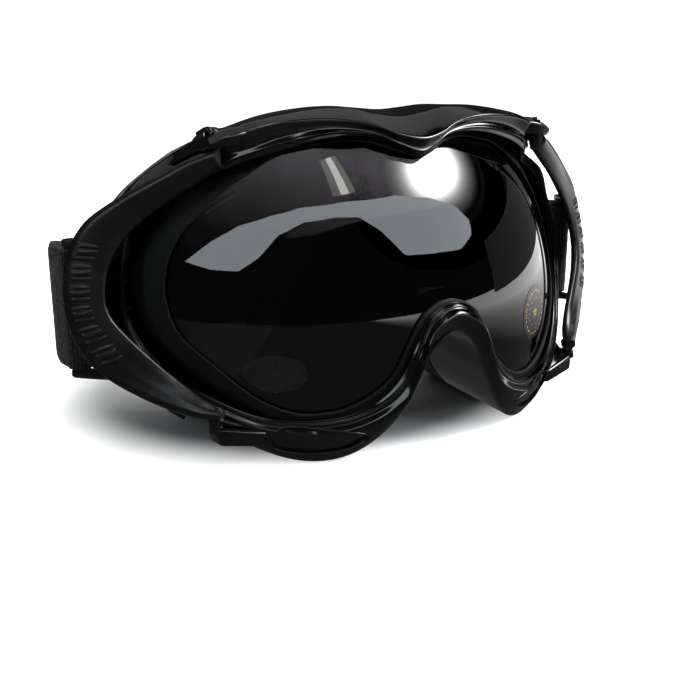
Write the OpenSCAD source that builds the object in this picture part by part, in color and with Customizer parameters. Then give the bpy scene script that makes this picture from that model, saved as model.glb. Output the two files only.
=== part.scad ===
// Motorcycle goggles with a wrap-round double lens, hinged outrigger arms and a woven head strap.
// Millimetres. +Z is up, the lens faces -Y, and the goggles are symmetric about X = 0.
// They stand on the two cheek lobes and on the lower edge of the face foam, leaning back a little.

/* [Lens] */
// Radius of the spherical front surface of the outer lens
lens_r = 95; // [94.6:0.1:95.2]
// Thickness of the smoked outer lens
lens_t = 1.4; // [1:0.1:1.6]
// Air gap between the outer and the inner lens
lens_gap = 2.6; // [2:0.1:3]
// Thickness of the clear inner lens
inner_t = 1; // [0.8:0.1:1.2]

/* [Outriggers] */
// Thickness of an outrigger band at its middle
arm_t = 3.6; // [3:0.1:3.8]
// Radius of the hinge pins
pin_r = 1.5; // [1.2:0.1:1.6]
// Radius of the bar that holds the strap
bar_r = 1.8; // [1.5:0.1:2]
// Number of grip ribs on each outrigger
grip_count = 6; // [3:1:8]

/* [Strap] */
// Width of the woven strap
strap_w = 35; // [30:1:36]
// Thickness of the woven strap
strap_t = 1.6; // [1.2:0.1:1.8]
// Length of a strap adjuster along the strap
adjuster_l = 19; // [16:1:20]

/* [Foam] */
// Thickness of the face foam
foam_t = 13; // [10:1:14]
// Thickness of the fleece skin on the foam
fleece_t = 1.2; // [0.8:0.1:2]

/* [Hidden] */

// The curves below are drawn in a frame whose Y = 0 is near the lower hinge pins. In that frame
// depth_mid is the Y of the middle of the whole depth, and floor_z the Z of the standing plane.
depth_mid = 61.1;
floor_z = 1.29;
// Centre of the lens sphere
lens_y = 77;
lens_z = 31.5;
// How far the lens carrier reaches beyond the visible edge of the lens
carrier_w = 4.2;
// Smoothness of true spheres and cylinders
round_fn = 48;
// Steps between two control stations of a loft
sub = 4;
// Clearance between pieces that only touch
clear = 0.3;
// How far the inner wall of the frame runs straight back beside the lens carrier
wall_run = 9;

gloss = [0.05, 0.045, 0.05];
satin = [0.09, 0.085, 0.09];
smoke = [0.13, 0.13, 0.14, 0.75];
clear_tint = [0.6, 0.65, 0.68, 0.35];
matte = [0.08, 0.08, 0.08];
foam_grey = [0.12, 0.12, 0.12];
strap_black = [0.06, 0.06, 0.07];
steel = [0.6, 0.6, 0.62];
gold = [0.85, 0.72, 0.35];

// Stations run from the middle of the brow, round the right side, to the middle of the nose.
// Visible edge of the lens, seen from the front: x, z
lens_edge = [[0, 87.6], [7, 89.3], [14, 91.6], [22, 92.3], [31, 91.2], [41, 88.8], [51, 82.8],
    [57, 79], [63, 74.5], [70, 67], [74.2, 57.5], [75.2, 48], [73, 39], [66, 30.5],
    [56.5, 23], [47, 17.8], [37, 17.3], [28, 20.5], [20, 27], [14.5, 37], [9, 44.6], [0, 47.8]];
// Inner front edge of the frame: x, z, distance from the centre of the lens sphere
rail_in = [[0, 88.1, 97], [6, 90.4, 97.3], [13, 93.4, 98.2], [21.5, 94.3, 99.5],
    [31, 93.5, 101], [42, 90.9, 101.5], [51.5, 87.8, 101], [56, 85.8, 99.8],
    [62, 81.6, 96.6], [73.5, 76.2, 99.6], [79.6, 66.8, 99.6], [82.8, 54, 99], [82.2, 41.5, 98.2],
    [77, 31, 97.6], [67, 22.5, 97.3], [54, 16.5, 97.6], [38, 15.5, 97.5], [27, 19, 97.7],
    [18.7, 26, 97.7], [13.4, 36.2, 97.7], [8.6, 43.6, 97.6], [0, 47, 97.6]];
// Proud crest of the frame: x, z, distance from the centre of the lens sphere
crest = [[0, 93.3, 102], [7.5, 94.5, 102], [15, 97.2, 102.5], [24, 98.8, 103.2],
    [34, 99.2, 105], [45, 98.2, 107.2], [52.6, 96, 108.4], [56, 94.6, 106.8],
    [62.5, 86.6, 97.6], [75, 78, 101.6], [81.2, 68, 102], [84.4, 54.3, 101.6], [83.7, 41, 100.6],
    [78.6, 30, 99.2], [69, 20.8, 99.6], [55.5, 13.4, 100.6], [39, 12, 101.3], [27, 14.8, 101.8],
    [18, 20.2, 101.6], [13.2, 30.5, 101.5], [9.2, 39.5, 101.3], [0, 44.1, 101.1]];
// Outer front edge of the frame: x, z, distance from the centre of the lens sphere
rail_out = [[0, 99.5, 98], [8.5, 100.4, 98.5], [17, 102, 99.5], [27, 102.2, 101],
    [38, 101, 103.6], [48, 99.2, 106], [55, 97.2, 106.6], [58.2, 95.6, 103],
    [65.4, 87, 96.2], [78.2, 79.4, 101], [83.8, 69.4, 100.2], [86.8, 55, 99.6], [86.4, 40.5, 98.6],
    [81, 28, 97.8], [71.5, 17.4, 97.8], [59, 8.2, 98.6], [45, 1.9, 98.6], [32.5, 2.4, 98.6],
    [22, 9.8, 98.4], [14, 21.5, 98.2], [8.6, 32.6, 98.1], [0, 38.2, 98]];
// Rear edge of the front frame, where the face frame starts: x, y, z
rear = [[0, 20, 101], [9, 20.5, 101.6], [18, 22, 102.2], [28, 24, 101.6], [38, 27, 99.8],
    [47, 30, 96.8], [55, 34, 92.8], [60, 37, 89.8], [67, 41.5, 84.4], [75.5, 46.5, 76.6],
    [83, 51, 67], [86.4, 53, 55.5], [85.4, 51, 40.5], [80.5, 46, 28], [72, 39, 17.5],
    [61, 32, 8.6], [48, 27, 2.4], [36, 24, 3], [26, 21.5, 11], [18, 19.5, 23.5],
    [11, 18.5, 34.5], [0, 18, 39.6]];
// Line where the face frame meets the foam: x, y, z
face_line = [[0, 31, 98.6], [9, 31.4, 99.2], [18, 32.6, 99.6], [28, 34.5, 98.8],
    [37, 37, 96.8], [45, 40, 93.8], [52.5, 43.5, 90.2], [57, 46, 87.4], [64, 50, 81.6],
    [71, 54, 74.4], [76.6, 57.5, 65.4], [79, 59.5, 55.5], [78, 57.5, 41], [74, 53, 28.5],
    [67, 47.5, 17], [57.5, 42, 7.6], [47, 37.5, 2.4], [37, 34, 3.6], [27.5, 31, 12],
    [19, 28.5, 24.5], [12, 27, 35.6], [0, 26.4, 41]];

// Outrigger band on the right side: inner edge, outer edge and share of the full thickness
arm_in = [[58.2, 11.8, 86.2], [64, 13.6, 82.6], [71.3, 16.6, 77.9], [78.2, 19.6, 73],
    [84.3, 21.6, 67.4], [88.6, 22.2, 61.3], [91, 21.3, 53], [90.4, 19.4, 46.5],
    [86.5, 15.8, 40.3], [80.5, 11.4, 33.2], [74.5, 7, 27.2], [69.8, 2.6, 23.4],
    [67.2, -2.4, 21.8]];
arm_out = [[62, 9.4, 90.2], [67.8, 13, 88.4], [75.6, 17.2, 84.2], [84.8, 22.4, 78.8],
    [93.6, 26.8, 72.2], [98.8, 28.7, 63.4], [100.8, 27.9, 54], [100.9, 26.3, 45.5],
    [98.6, 23, 36.7], [93.6, 18.2, 29.6], [84.5, 10, 23.6], [75.5, 2.6, 20],
    [69, -3, 18.6]];
arm_share = [1.05, 1, 0.9, 0.95, 1, 1, 1, 1, 1, 1, 1, 1, 0.9];

// The hinge axis runs through the upper and the lower pivot
upper_pivot = [60.4, 13.2, 90.2];
lower_pivot = [68.4, 1, 20.5];
axis_run = lower_pivot - upper_pivot;
axis_l = norm(axis_run);
axis_dir = axis_run / axis_l;

// The adjusters stand on the floor at the back: height of their rails, and the strap's middle line
adjuster_rail = 3.6;
back_y = 143;
back_z = floor_z + adjuster_rail + clear + strap_w / 2;
back_half = 38;
adjuster_x = 24;
// Middle line of the strap on the right side: x, y, z
strap_line = [[98, 34.6, 46.5], [98, 45, 46], [93.4, 61, 44.6], [85, 83, 41], [75, 105, 36],
    [62, 125, 30.5], [48, 139.6, 24], [back_half + clear, back_y, back_z]];
// Number of the ring of the strap where its sewn end meets the free strap
cut = 5;
// Grip grooves: height of the lowest one, and the run from the first to the last
grip_low = 36.5;
grip_run = 27.5;
// The outrigger's strap bar: thickness of its eyes, foot of its middle line, and its length
eye_t = 2;
bar_foot = [95.2, 34.4, 26.3];
bar_l = 40.4;

// Point number t between b and c on the smooth curve through a, b, c and d
function mid4(a, b, c, d, t) = 0.5 * (2 * b + (c - a) * t + (2 * a - 5 * b + 4 * c - d) * t * t
    + (3 * b - a - 3 * c + d) * t * t * t);
// Smooth open curve through pts; its ends keep their direction
function smooth(pts, n) = let (m = len(pts), p = [2 * pts[0] - pts[1], each pts,
    2 * pts[m - 1] - pts[m - 2]])
    [for (i = [0:m - 2], k = [0:n - 1]) mid4(p[i], p[i + 1], p[i + 2], p[i + 3], k / n),
    pts[m - 1]];
// Smooth half curve whose ends cross the plane x = 0 square on
function flip(p) = [-p[0], for (k = [1:len(p) - 1]) p[k]];
function smooth_half(pts, n) = let (m = len(pts), p = [flip(pts[1]), each pts, flip(pts[m - 2])])
    [for (i = [0:m - 2], k = [0:n - 1]) mid4(p[i], p[i + 1], p[i + 2], p[i + 3], k / n),
    pts[m - 1]];
// Whole closed curve from its right half
function whole(half) = let (m = len(half))
    [each half, for (i = [m - 2:-1:1]) flip(half[i])];
function loop(pts) = whole(smooth_half(pts, sub));
// Point on a sphere about the lens centre, from its x and z as seen from the front
function on_lens(x, z, r) = [x, lens_y - sqrt(r * r - x * x - pow(z - lens_z, 2)), z];
function shell(curve) = [for (p = curve) on_lens(p[0], p[1], p[2])];
// Curve moved outward by d in the x-z plane; it runs clockwise seen from the front
function grow_xz(c, d) = let (m = len(c)) [for (i = [0:m - 1]) let (
    t = c[(i + 1) % m] - c[(i + m - 1) % m], a = t[0], b = t[len(t) - 1], s = sqrt(a * a + b * b))
    len(t) == 2 ? [c[i][0] - b / s * d, c[i][1] + a / s * d]
    : [c[i][0] - b / s * d, c[i][1], c[i][2] + a / s * d]];
function push_y(c, d) = [for (p = c) p + [0, d, 0]];
function unit(v) = v / norm(v);

// Closed ring of sections; curves is a list of closed curves with the same number of points
module ring_loft(curves) {
    m = len(curves);
    n = len(curves[0]);
    points = [for (i = [0:n - 1], c = curves) c[i]];
    faces = [for (i = [0:n - 1], j = [0:m - 1]) let (k = (i + 1) % n, l = (j + 1) % m)
        each [[i * m + j, i * m + l, k * m + l], [i * m + j, k * m + l, k * m + j]]];
    polyhedron(points, faces, convexity = 8);
}
// Open loft with end caps; rings is a list of rings with the same number of points
module open_loft(rings) {
    n = len(rings);
    m = len(rings[0]);
    points = [for (r = rings) each r];
    sides = [for (i = [0:n - 2], j = [0:m - 1]) let (l = (j + 1) % m)
        each [[i * m + j, i * m + l, (i + 1) * m + l], [i * m + j, (i + 1) * m + l, (i + 1) * m + j]]];
    caps = [for (j = [1:m - 2]) each [[0, j + 1, j],
        [(n - 1) * m, (n - 1) * m + j, (n - 1) * m + j + 1]]];
    polyhedron(points, [each sides, each caps], convexity = 8);
}
module placed() translate([0, -depth_mid, -floor_z]) children();
module left_side() mirror([1, 0, 0]) children();
// Cylinder between two points
module rod(a, b, r) {
    v = b - a;
    translate(a) rotate([0, acos(v[2] / norm(v)), atan2(v[1], v[0])])
        cylinder(h = norm(v), r = r, $fn = round_fn);
}
// Solid inside the lens outline grown by d, as deep as the goggles
module lens_prism(d) {
    outline = grow_xz(loop(lens_edge), d);
    translate([0, 70, 0]) rotate([90, 0, 0]) linear_extrude(height = 110) polygon(outline);
}
module lens_shell(r, t) {
    translate([0, lens_y, lens_z]) difference() {
        sphere(r = r, $fn = 96);
        sphere(r = r - t, $fn = 96);
    }
}
// Point at distance d below the upper pivot on the hinge axis
function on_axis(d) = upper_pivot + axis_dir * d;

// Bosses that hold the upper and lower hinge pins
module hinge_lugs() {
    hull() {
        rod(on_axis(-7.2), on_axis(-4.7), 2.6);
        translate([57, 23, 94.4]) sphere(r = 1.8, $fn = 24);
        translate([54, 15, 95.8]) sphere(r = 1.2, $fn = 24);
    }
    rod(on_axis(axis_l + 3.2), on_axis(axis_l + 9), 2.6);
}
// Wedge below the outrigger's tip
module lower_wing() {
    hull() {
        for (p = [[67.2, -0.4, 11.4], [67.6, 4, 11.4], [64, 9, 12], [67.4, 0.4, 14], [67.4, 4, 14]])
            translate(p) sphere(r = 1.9, $fn = 24);
        translate([55, -2.8, 11]) rotate([0, 90, 0]) cylinder(h = 1, r = 2.3, $fn = 24);
        translate([55, 5, 8]) sphere(r = 2.2, $fn = 24);
    }
}
// Inner wall of the frame: outside the lens carrier, and outside the rail where that is wider
function wall_line(edge, a) = let (m = len(edge)) [for (i = [0:m - 1]) let (
    t = edge[(i + 1) % m] - edge[(i + m - 1) % m],
    n = [-t[1], t[0]] / norm(t),
    away = max(carrier_w + 0.3, (a[i][0] - edge[i][0]) * n[0] + (a[i][2] - edge[i][1]) * n[1] + 0.8))
    on_lens(edge[i][0] + n[0] * away, edge[i][1] + n[1] * away, lens_r + 1.6)];
// Windows in the side wall behind the thin rail
module side_windows() {
    for (i = [0:4]) translate([79, 36, 30.5 + 8 * i]) cube([12, 11, 5.6]);
}
module front_frame() color(gloss) placed() {
    edge = loop(lens_edge);
    a = shell(loop(rail_in));
    c = shell(loop(crest));
    o = shell(loop(rail_out));
    b = loop(rear);
    w = wall_line(edge, a);
    lip = [for (i = [0:len(a) - 1]) a[i] * 0.9 + w[i] * 0.1];
    wall = 2.2;
    difference() {
        union() {
            ring_loft([a, (a + c) / 2, c, (c + o) / 2, o, (o + b) / 2, b, grow_xz(b, -wall),
                push_y(w, wall_run), w,
                [for (p = lip) on_lens(p[0], p[2], lens_r + 1.6)]]);
            for (side = [0, 1]) mirror([side, 0, 0]) {
                hinge_lugs();
                lower_wing();
            }
        }
        for (side = [0, 1]) mirror([side, 0, 0]) {
            rod(on_axis(-9), on_axis(-3), pin_r + 0.04);
            rod(on_axis(axis_l + 2), on_axis(axis_l + 10), pin_r + 0.04);
            cheek_recess(0);
            side_windows();
        }
    }
}
// Rounded slot in the front of the right cheek lobe; inset shrinks it all round
module cheek_recess(inset) {
    hull() {
        translate([47.6, -1, 9.3]) rotate([90, 0, 24]) cylinder(h = 14, r = 2.7 - inset, $fn = 24);
        translate([33.6, -8, 8.1]) rotate([90, 0, 20]) cylinder(h = 14, r = 2.5 - inset, $fn = 24);
    }
}
// Lobe of the front frame set back a little, which the cheek pads follow
function cheek_shell() = let (c = shell(loop(crest)), o = shell(loop(rail_out)))
    [push_y(grow_xz(c, -4), 1), push_y(c, 1), push_y((c + o) / 2, 1), push_y(o, 1),
    push_y(o, 7), push_y(grow_xz(c, -4), 7)];
module cheek_pad() color(matte) placed() intersection() {
    cheek_recess(clear);
    ring_loft(cheek_shell());
}
module cheek_pad_left() left_side() cheek_pad();
module cheek_pad_right() cheek_pad();

// The lens outline grown by d, on a sphere of radius r
function at(d, r) = [for (p = grow_xz(loop(lens_edge), d)) on_lens(p[0], p[1], r)];
// Carrier that grips the edges of both lenses
module lens_rim() color(matte) placed() {
    front = lens_r + 0.1;
    back = lens_r - lens_t - lens_gap - inner_t - 0.1;
    ring_loft([at(0.2, front), at(0.2, front + 1.2), at(carrier_w - 0.8, front + 1.2),
        at(carrier_w, front + 0.4), at(carrier_w, back), at(carrier_w - 0.8, back - 1.6),
        at(-1.5, back - 1.6), at(-1.5, back), at(3.1, back), at(3.1, front)]);
}
module outer_lens() color(smoke) placed() intersection() {
    lens_shell(lens_r, lens_t);
    lens_prism(2.9);
}
module inner_lens() color(clear_tint) placed() intersection() {
    lens_shell(lens_r - lens_t - lens_gap, inner_t);
    lens_prism(2.9);
}
// Foam seal that keeps the two lenses apart
module lens_spacer() color(foam_grey) placed() intersection() {
    lens_shell(lens_r - lens_t - 0.02, lens_gap - 0.04);
    difference() {
        lens_prism(2.9);
        lens_prism(-1.2);
    }
}

// Flexible rear frame between the front frame and the foam
module face_frame() color(matte) placed() {
    b = loop(rear);
    f = loop(face_line);
    wall = 2.4;
    flange = 9;
    ring_loft([push_y(b, clear), b * 0.6 + f * 0.4, f, grow_xz(f, -flange),
        push_y(grow_xz(f, -flange), -1.8), push_y(grow_xz(f, -wall), -2.2),
        push_y(grow_xz(b, -wall), clear)]);
}
// Padded ring that meets the face
module face_foam() color(foam_grey) placed() {
    f = grow_xz(push_y(loop(face_line), 0.4), -0.6);
    ring_loft([f, push_y(grow_xz(f, 1), foam_t * 0.35), push_y(grow_xz(f, 0.2), foam_t * 0.8),
        push_y(grow_xz(f, -2.5), foam_t), push_y(grow_xz(f, -9), foam_t),
        push_y(grow_xz(f, -11.4), foam_t * 0.7), push_y(grow_xz(f, -10.4), foam_t * 0.2),
        grow_xz(f, -8.4)]);
}
module fleece_skin() color(matte) placed() {
    f = push_y(grow_xz(loop(face_line), -3.4), foam_t + 0.8);
    ring_loft([f, push_y(grow_xz(f, -0.6), fleece_t), push_y(grow_xz(f, -5.6), fleece_t),
        grow_xz(f, -6.2)]);
}

// Strip of open foam behind a run of vent slots; from and to are shares of the half outline
module vent_strip(from, to) {
    b = smooth_half(rear, sub);
    run = [for (i = [round(from * (len(b) - 1)):round(to * (len(b) - 1))]) i];
    c = loop(rear);
    up = grow_xz(c, -6.2);
    low = grow_xz(c, -8.8);
    near = [0, 3, 0];
    far = [0, 6.2, 0];
    open_loft([for (i = run) [up[i] + far, low[i] + far, low[i] + near, up[i] + near]]);
}
module top_vent_foam() color(foam_grey) placed() {
    vent_strip(0.01, 0.2);
    left_side() vent_strip(0.01, 0.2);
}
module bottom_vent_foam() color(foam_grey) placed() {
    vent_strip(0.78, 0.86);
    left_side() vent_strip(0.78, 0.86);
}
// Louvre of ribs in the open channel between the lens carrier and the side rail
module side_vent() color(matte) placed() intersection() {
    union() {
        for (i = [0:5]) translate([74, 32, 28.4 + 8 * i]) cube([14, 12, 1.2]);
        translate([74, 40, 28.4]) cube([14, 1.4, 41.2]);
    }
    ring_loft(vent_shell());
}
// The channel between the carrier and the frame's inner wall
function vent_shell() = let (edge = loop(lens_edge), w = wall_line(edge, shell(loop(rail_in))),
    near = [for (p = grow_xz(edge, carrier_w + 0.2)) on_lens(p[0], p[1], lens_r - 2)],
    far = grow_xz(w, -0.2)) [near, far, push_y(far, wall_run), push_y(near, wall_run)];
module side_vent_left() left_side() side_vent();
module side_vent_right() side_vent();

// Small hooks that hold the face frame to the front frame
module clip(at, turn) {
    translate(at) rotate([0, turn, 0]) {
        translate([-3, -3.5, 0]) cube([6, 11, 1.3]);
        translate([-3, -3.5, 1.2]) cube([6, 1.6, 0.7]);
        translate([-2.2, 3, 1.3]) rotate([0, 90, 0]) cylinder(h = 4.4, r = 0.7, $fn = round_fn);
    }
}
module upper_clips() color(gloss) placed() for (side = [0, 1]) mirror([side, 0, 0])
    clip([53.8, 31.6, 95.3], 27);
module lower_clips() color(gloss) placed() for (side = [0, 1]) mirror([side, 0, 0])
    clip([67, 33.4, 11.4], 142);

// Right outrigger band with its grip ribs, hinge knuckles and the eyes of the strap bar
module arm() color(satin) placed() {
    inner = smooth(arm_in, sub);
    outer = smooth(arm_out, sub);
    share = smooth([for (s = arm_share) [s]], sub);
    n = len(inner);
    rings = [for (i = [0:n - 1]) let (
        p = inner[i],
        q = outer[i],
        run = inner[min(i + 1, n - 1)] + outer[min(i + 1, n - 1)]
            - inner[max(i - 1, 0)] - outer[max(i - 1, 0)],
        w = unit(q - p),
        back = unit(cross(w, run)),
        t = arm_t * share[i][0])
        [p + back * 0.3, p * 0.85 + q * 0.15 - back * 0.4, (p + q) / 2 - back * 0.9,
        p * 0.15 + q * 0.85 - back * 0.5, q + back * 0.5, q + back * t * 0.7,
        p * 0.2 + q * 0.8 + back * t, p * 0.75 + q * 0.25 + back * t * 0.85, p + back * t * 0.5]];
    difference() {
        union() {
            open_loft(rings);
            rod(on_axis(-3.9), on_axis(3.6), 2.6);
            rod(on_axis(axis_l - 1.8), on_axis(axis_l + 2.3), 2.4);
            bar_eye(bar_foot[2], [91.4, 18.4, 29.8]);
            bar_eye(bar_foot[2] + bar_l - eye_t, [88.4, 25.8, 66.4]);
        }
        rod(on_axis(-9), on_axis(3.8), pin_r);
        rod(on_axis(axis_l - 1.4), on_axis(axis_l + 9.5), pin_r);
        translate([bar_foot[0], bar_foot[1], bar_foot[2] - 1])
            cylinder(h = bar_l + 2, r = bar_r + 0.02, $fn = round_fn);
        for (i = [0:grip_count - 1]) grip_groove(grip_low + i * grip_run / (grip_count - 1));
    }
}
// Strut from the back of the band to one end of the strap bar
module bar_eye(z, root) {
    hull() {
        translate([bar_foot[0], bar_foot[1], z]) cylinder(h = eye_t, r = bar_r + 0.9, $fn = 32);
        translate(root) sphere(r = 1.7, $fn = 24);
    }
}
// Groove across the outer edge of the band at height z
module grip_groove(z) {
    edge = [for (p = smooth(arm_out, 8)) if (abs(p[2] - z) < 1.2) p][0];
    translate([edge[0] + 0.5, edge[1] + 0.3, z]) rotate([90, 0, 35]) translate([0, 0, -8])
        cylinder(h = 16, r = 1.1, $fn = round_fn);
}
module arm_left() left_side() arm();
module arm_right() arm();

module upper_pin() color(steel) placed() rod(on_axis(-7.2), on_axis(3.6), pin_r - 0.04);
module lower_pin() color(steel) placed()
    rod(on_axis(axis_l - 1.2), on_axis(axis_l + 8.8), pin_r - 0.04);
module upper_pin_left() left_side() upper_pin();
module upper_pin_right() upper_pin();
module lower_pin_left() left_side() lower_pin();
module lower_pin_right() lower_pin();
module strap_bar() color(steel) placed() translate(bar_foot)
    cylinder(h = bar_l, r = bar_r, $fn = round_fn);
module strap_bar_left() left_side() strap_bar();
module strap_bar_right() strap_bar();

// Rings of a flat band that follows a line, half its thickness to each side
function band(line, w, t) = let (n = len(line)) [for (i = [0:n - 1]) let (
    run = line[min(i + 1, n - 1)] - line[max(i - 1, 0)],
    side = unit([run[1], -run[0], 0]) * t / 2,
    up = [0, 0, w / 2])
    [line[i] - side - up, line[i] + side - up, line[i] + side + up, line[i] - side + up]];
strap_rings = band(smooth(strap_line, sub), strap_w, strap_t);
// Sewn loop round the strap bar, and the first stretch of strap
module strap_end() color(strap_black) placed() {
    open_loft([for (i = [0:cut]) strap_rings[i]]);
    translate([bar_foot[0], bar_foot[1], strap_line[0][2] - strap_w / 2]) difference() {
        cylinder(h = strap_w, r = bar_r + 0.2 + strap_t, $fn = round_fn);
        translate([0, 0, -1]) cylinder(h = strap_w + 2, r = bar_r + 0.2, $fn = round_fn);
    }
}
module strap_end_left() left_side() strap_end();
module strap_end_right() strap_end();
module strap_side() color(strap_black) placed()
    open_loft([for (i = [cut:len(strap_rings) - 1]) strap_rings[i]]);
module strap_side_left() left_side() strap_side();
module strap_side_right() strap_side();
module strap_back() color(strap_black) placed()
    translate([-back_half, back_y - strap_t / 2, back_z - strap_w / 2])
        cube([2 * back_half, strap_t, strap_w]);
// Three-bar slide that the flat strap weaves through
module adjuster() color(gloss) placed() translate([adjuster_x, back_y, back_z]) {
    gap = strap_t / 2 + clear;
    bar = 1.8;
    rail = adjuster_rail;
    post = 4;
    for (s = [-1, 1]) {
        translate([-adjuster_l / 2, -gap - bar, s * (strap_w / 2 + clear + rail / 2) - rail / 2])
            cube([adjuster_l, 2 * (gap + bar), rail]);
        translate([s * (adjuster_l - post) / 2 - post / 2, gap, -strap_w / 2 - 2 * clear])
            cube([post, bar, strap_w + 4 * clear]);
    }
    translate([-post / 2, -gap - bar, -strap_w / 2 - 2 * clear])
        cube([post, bar, strap_w + 4 * clear]);
}
module adjuster_left() left_side() adjuster();
module adjuster_right() adjuster();

// Thin plain label bonded to the outer lens, as a slice of a larger sphere
module label(x, z, r) placed() intersection() {
    lens_shell(lens_r + 0.12, 0.1);
    translate([x, 60, z]) rotate([90, 0, 0]) cylinder(h = 90, r = r, $fn = round_fn);
}
module lens_label() color(gold) label(45.3, 35.4, 8.9);
module size_label() color(clear_tint) label(-50.8, 29.2, 6.6);

front_frame();
lens_rim();
outer_lens();
lens_spacer();
inner_lens();
face_frame();
face_foam();
fleece_skin();
top_vent_foam();
bottom_vent_foam();
side_vent_left();
side_vent_right();
upper_clips();
lower_clips();
cheek_pad_left();
cheek_pad_right();
arm_left();
arm_right();
upper_pin_left();
upper_pin_right();
lower_pin_left();
lower_pin_right();
strap_bar_left();
strap_bar_right();
strap_end_left();
strap_end_right();
strap_side_left();
strap_side_right();
strap_back();
adjuster_left();
adjuster_right();
lens_label();
size_label();
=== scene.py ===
import math

import bmesh
import bpy
import numpy as np
from mathutils import Matrix, Vector
from mathutils.bvhtree import BVHTree


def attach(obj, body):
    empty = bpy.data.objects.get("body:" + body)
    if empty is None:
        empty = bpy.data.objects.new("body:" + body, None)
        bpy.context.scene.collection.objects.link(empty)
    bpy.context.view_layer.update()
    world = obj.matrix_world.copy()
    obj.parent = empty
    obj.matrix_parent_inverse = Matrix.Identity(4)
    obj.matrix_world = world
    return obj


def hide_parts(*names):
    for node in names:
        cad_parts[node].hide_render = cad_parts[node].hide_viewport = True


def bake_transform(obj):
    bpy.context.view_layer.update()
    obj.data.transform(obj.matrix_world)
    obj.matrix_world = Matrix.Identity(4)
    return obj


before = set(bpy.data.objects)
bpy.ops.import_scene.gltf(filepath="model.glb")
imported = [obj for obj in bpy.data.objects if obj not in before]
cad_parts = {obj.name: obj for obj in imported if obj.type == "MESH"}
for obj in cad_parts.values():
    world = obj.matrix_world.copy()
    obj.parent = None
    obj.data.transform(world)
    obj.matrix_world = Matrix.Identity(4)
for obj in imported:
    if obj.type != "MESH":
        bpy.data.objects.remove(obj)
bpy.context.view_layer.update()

# ---------------------------------------------------------------- outlines and driving sizes
# The outlines are in millimetres, in the frame that the CAD curves are drawn in: their Y and Z
# are moved by ORIGIN into the row frame, and MM turns them into metres.
MM = 0.001
ORIGIN = np.array([0, 61.1, 1.29])
LENS_Y, LENS_Z, LENS_R = 77, 31.5, 95
LENS_T, LENS_GAP, INNER_T = 1.4, 2.6, 1.0
CARRIER_W = 4.2
CLEAR = 0.3
SUB = 16

# Stations run from the middle of the brow, round the right side, to the middle of the nose.
# Visible edge of the lens, seen from the front: x, z, and a radius that is filled in later
LENS_EDGE = [[0, 87.6], [7, 89.3], [14, 91.6], [22, 92.3], [31, 91.2], [41, 88.8], [51, 82.8],
             [57, 79], [63, 74.5], [70, 67], [74.2, 57.5], [75.2, 48], [73, 39], [66, 30.5],
             [56.5, 23], [47, 17.8], [37, 17.3], [28, 20.5], [20, 27], [14.5, 37], [9, 44.6],
             [0, 47.8]]
# Frame edges: x, z, distance from the centre of the lens sphere
RAIL_IN = [[0, 88.1, 97], [6, 90.4, 97.3], [13, 93.4, 98.2], [21.5, 94.3, 99.5],
           [31, 93.5, 101], [42, 90.9, 101.5], [51.5, 87.8, 101], [56.6, 85.5, 100.2],
           [62.6, 82.2, 97.2], [73.5, 76.2, 99.6], [79.6, 66.8, 99.6], [82.8, 54, 99],
           [82.2, 41.5, 98.2], [77, 31, 97.6], [67, 22.5, 97.3], [54, 16.5, 97.6],
           [38, 15.5, 97.5], [27, 19, 97.7], [18.7, 26, 97.7], [13.4, 36.2, 97.7],
           [8.6, 43.6, 97.6], [0, 47, 97.6]]
CREST = [[0, 93.3, 102], [7.5, 94.5, 102], [15, 97.2, 102.5], [24, 98.8, 103.2],
         [34, 99.2, 105], [45, 98.2, 107.2], [52.6, 96, 108.4], [56.8, 94.4, 107.4],
         [63.8, 87, 99.2], [75.5, 78.2, 102.6], [81.2, 68, 102], [84.4, 54.3, 101.6],
         [83.7, 41, 100.6], [78.6, 30, 99.8], [69, 20.8, 99.6], [55.5, 13.4, 100.6],
         [39, 12, 101.3], [27, 14.8, 101.8], [18, 20.2, 101.6], [13.2, 30.5, 101.5],
         [9.2, 39.5, 101.3], [0, 44.1, 101.1]]
RAIL_OUT = [[0, 99.5, 98], [8.5, 100.4, 98.5], [17, 102, 99.5], [27, 102.2, 101],
            [38, 101, 103.6], [48, 99.2, 106], [55, 97.2, 106.6], [58.2, 95.6, 103],
            [67, 87.8, 98], [78.2, 79.4, 101], [83.8, 69.4, 100.2], [86.8, 55, 99.6],
            [86.4, 40.5, 98.6], [81, 28, 97.8], [71.5, 17.4, 97.8], [59, 8.2, 98.6],
            [45, 1.9, 98.6], [32.5, 2.4, 98.6], [22, 9.8, 98.4], [14, 21.5, 98.2],
            [8.6, 32.6, 98.1], [0, 38.2, 98]]
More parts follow.
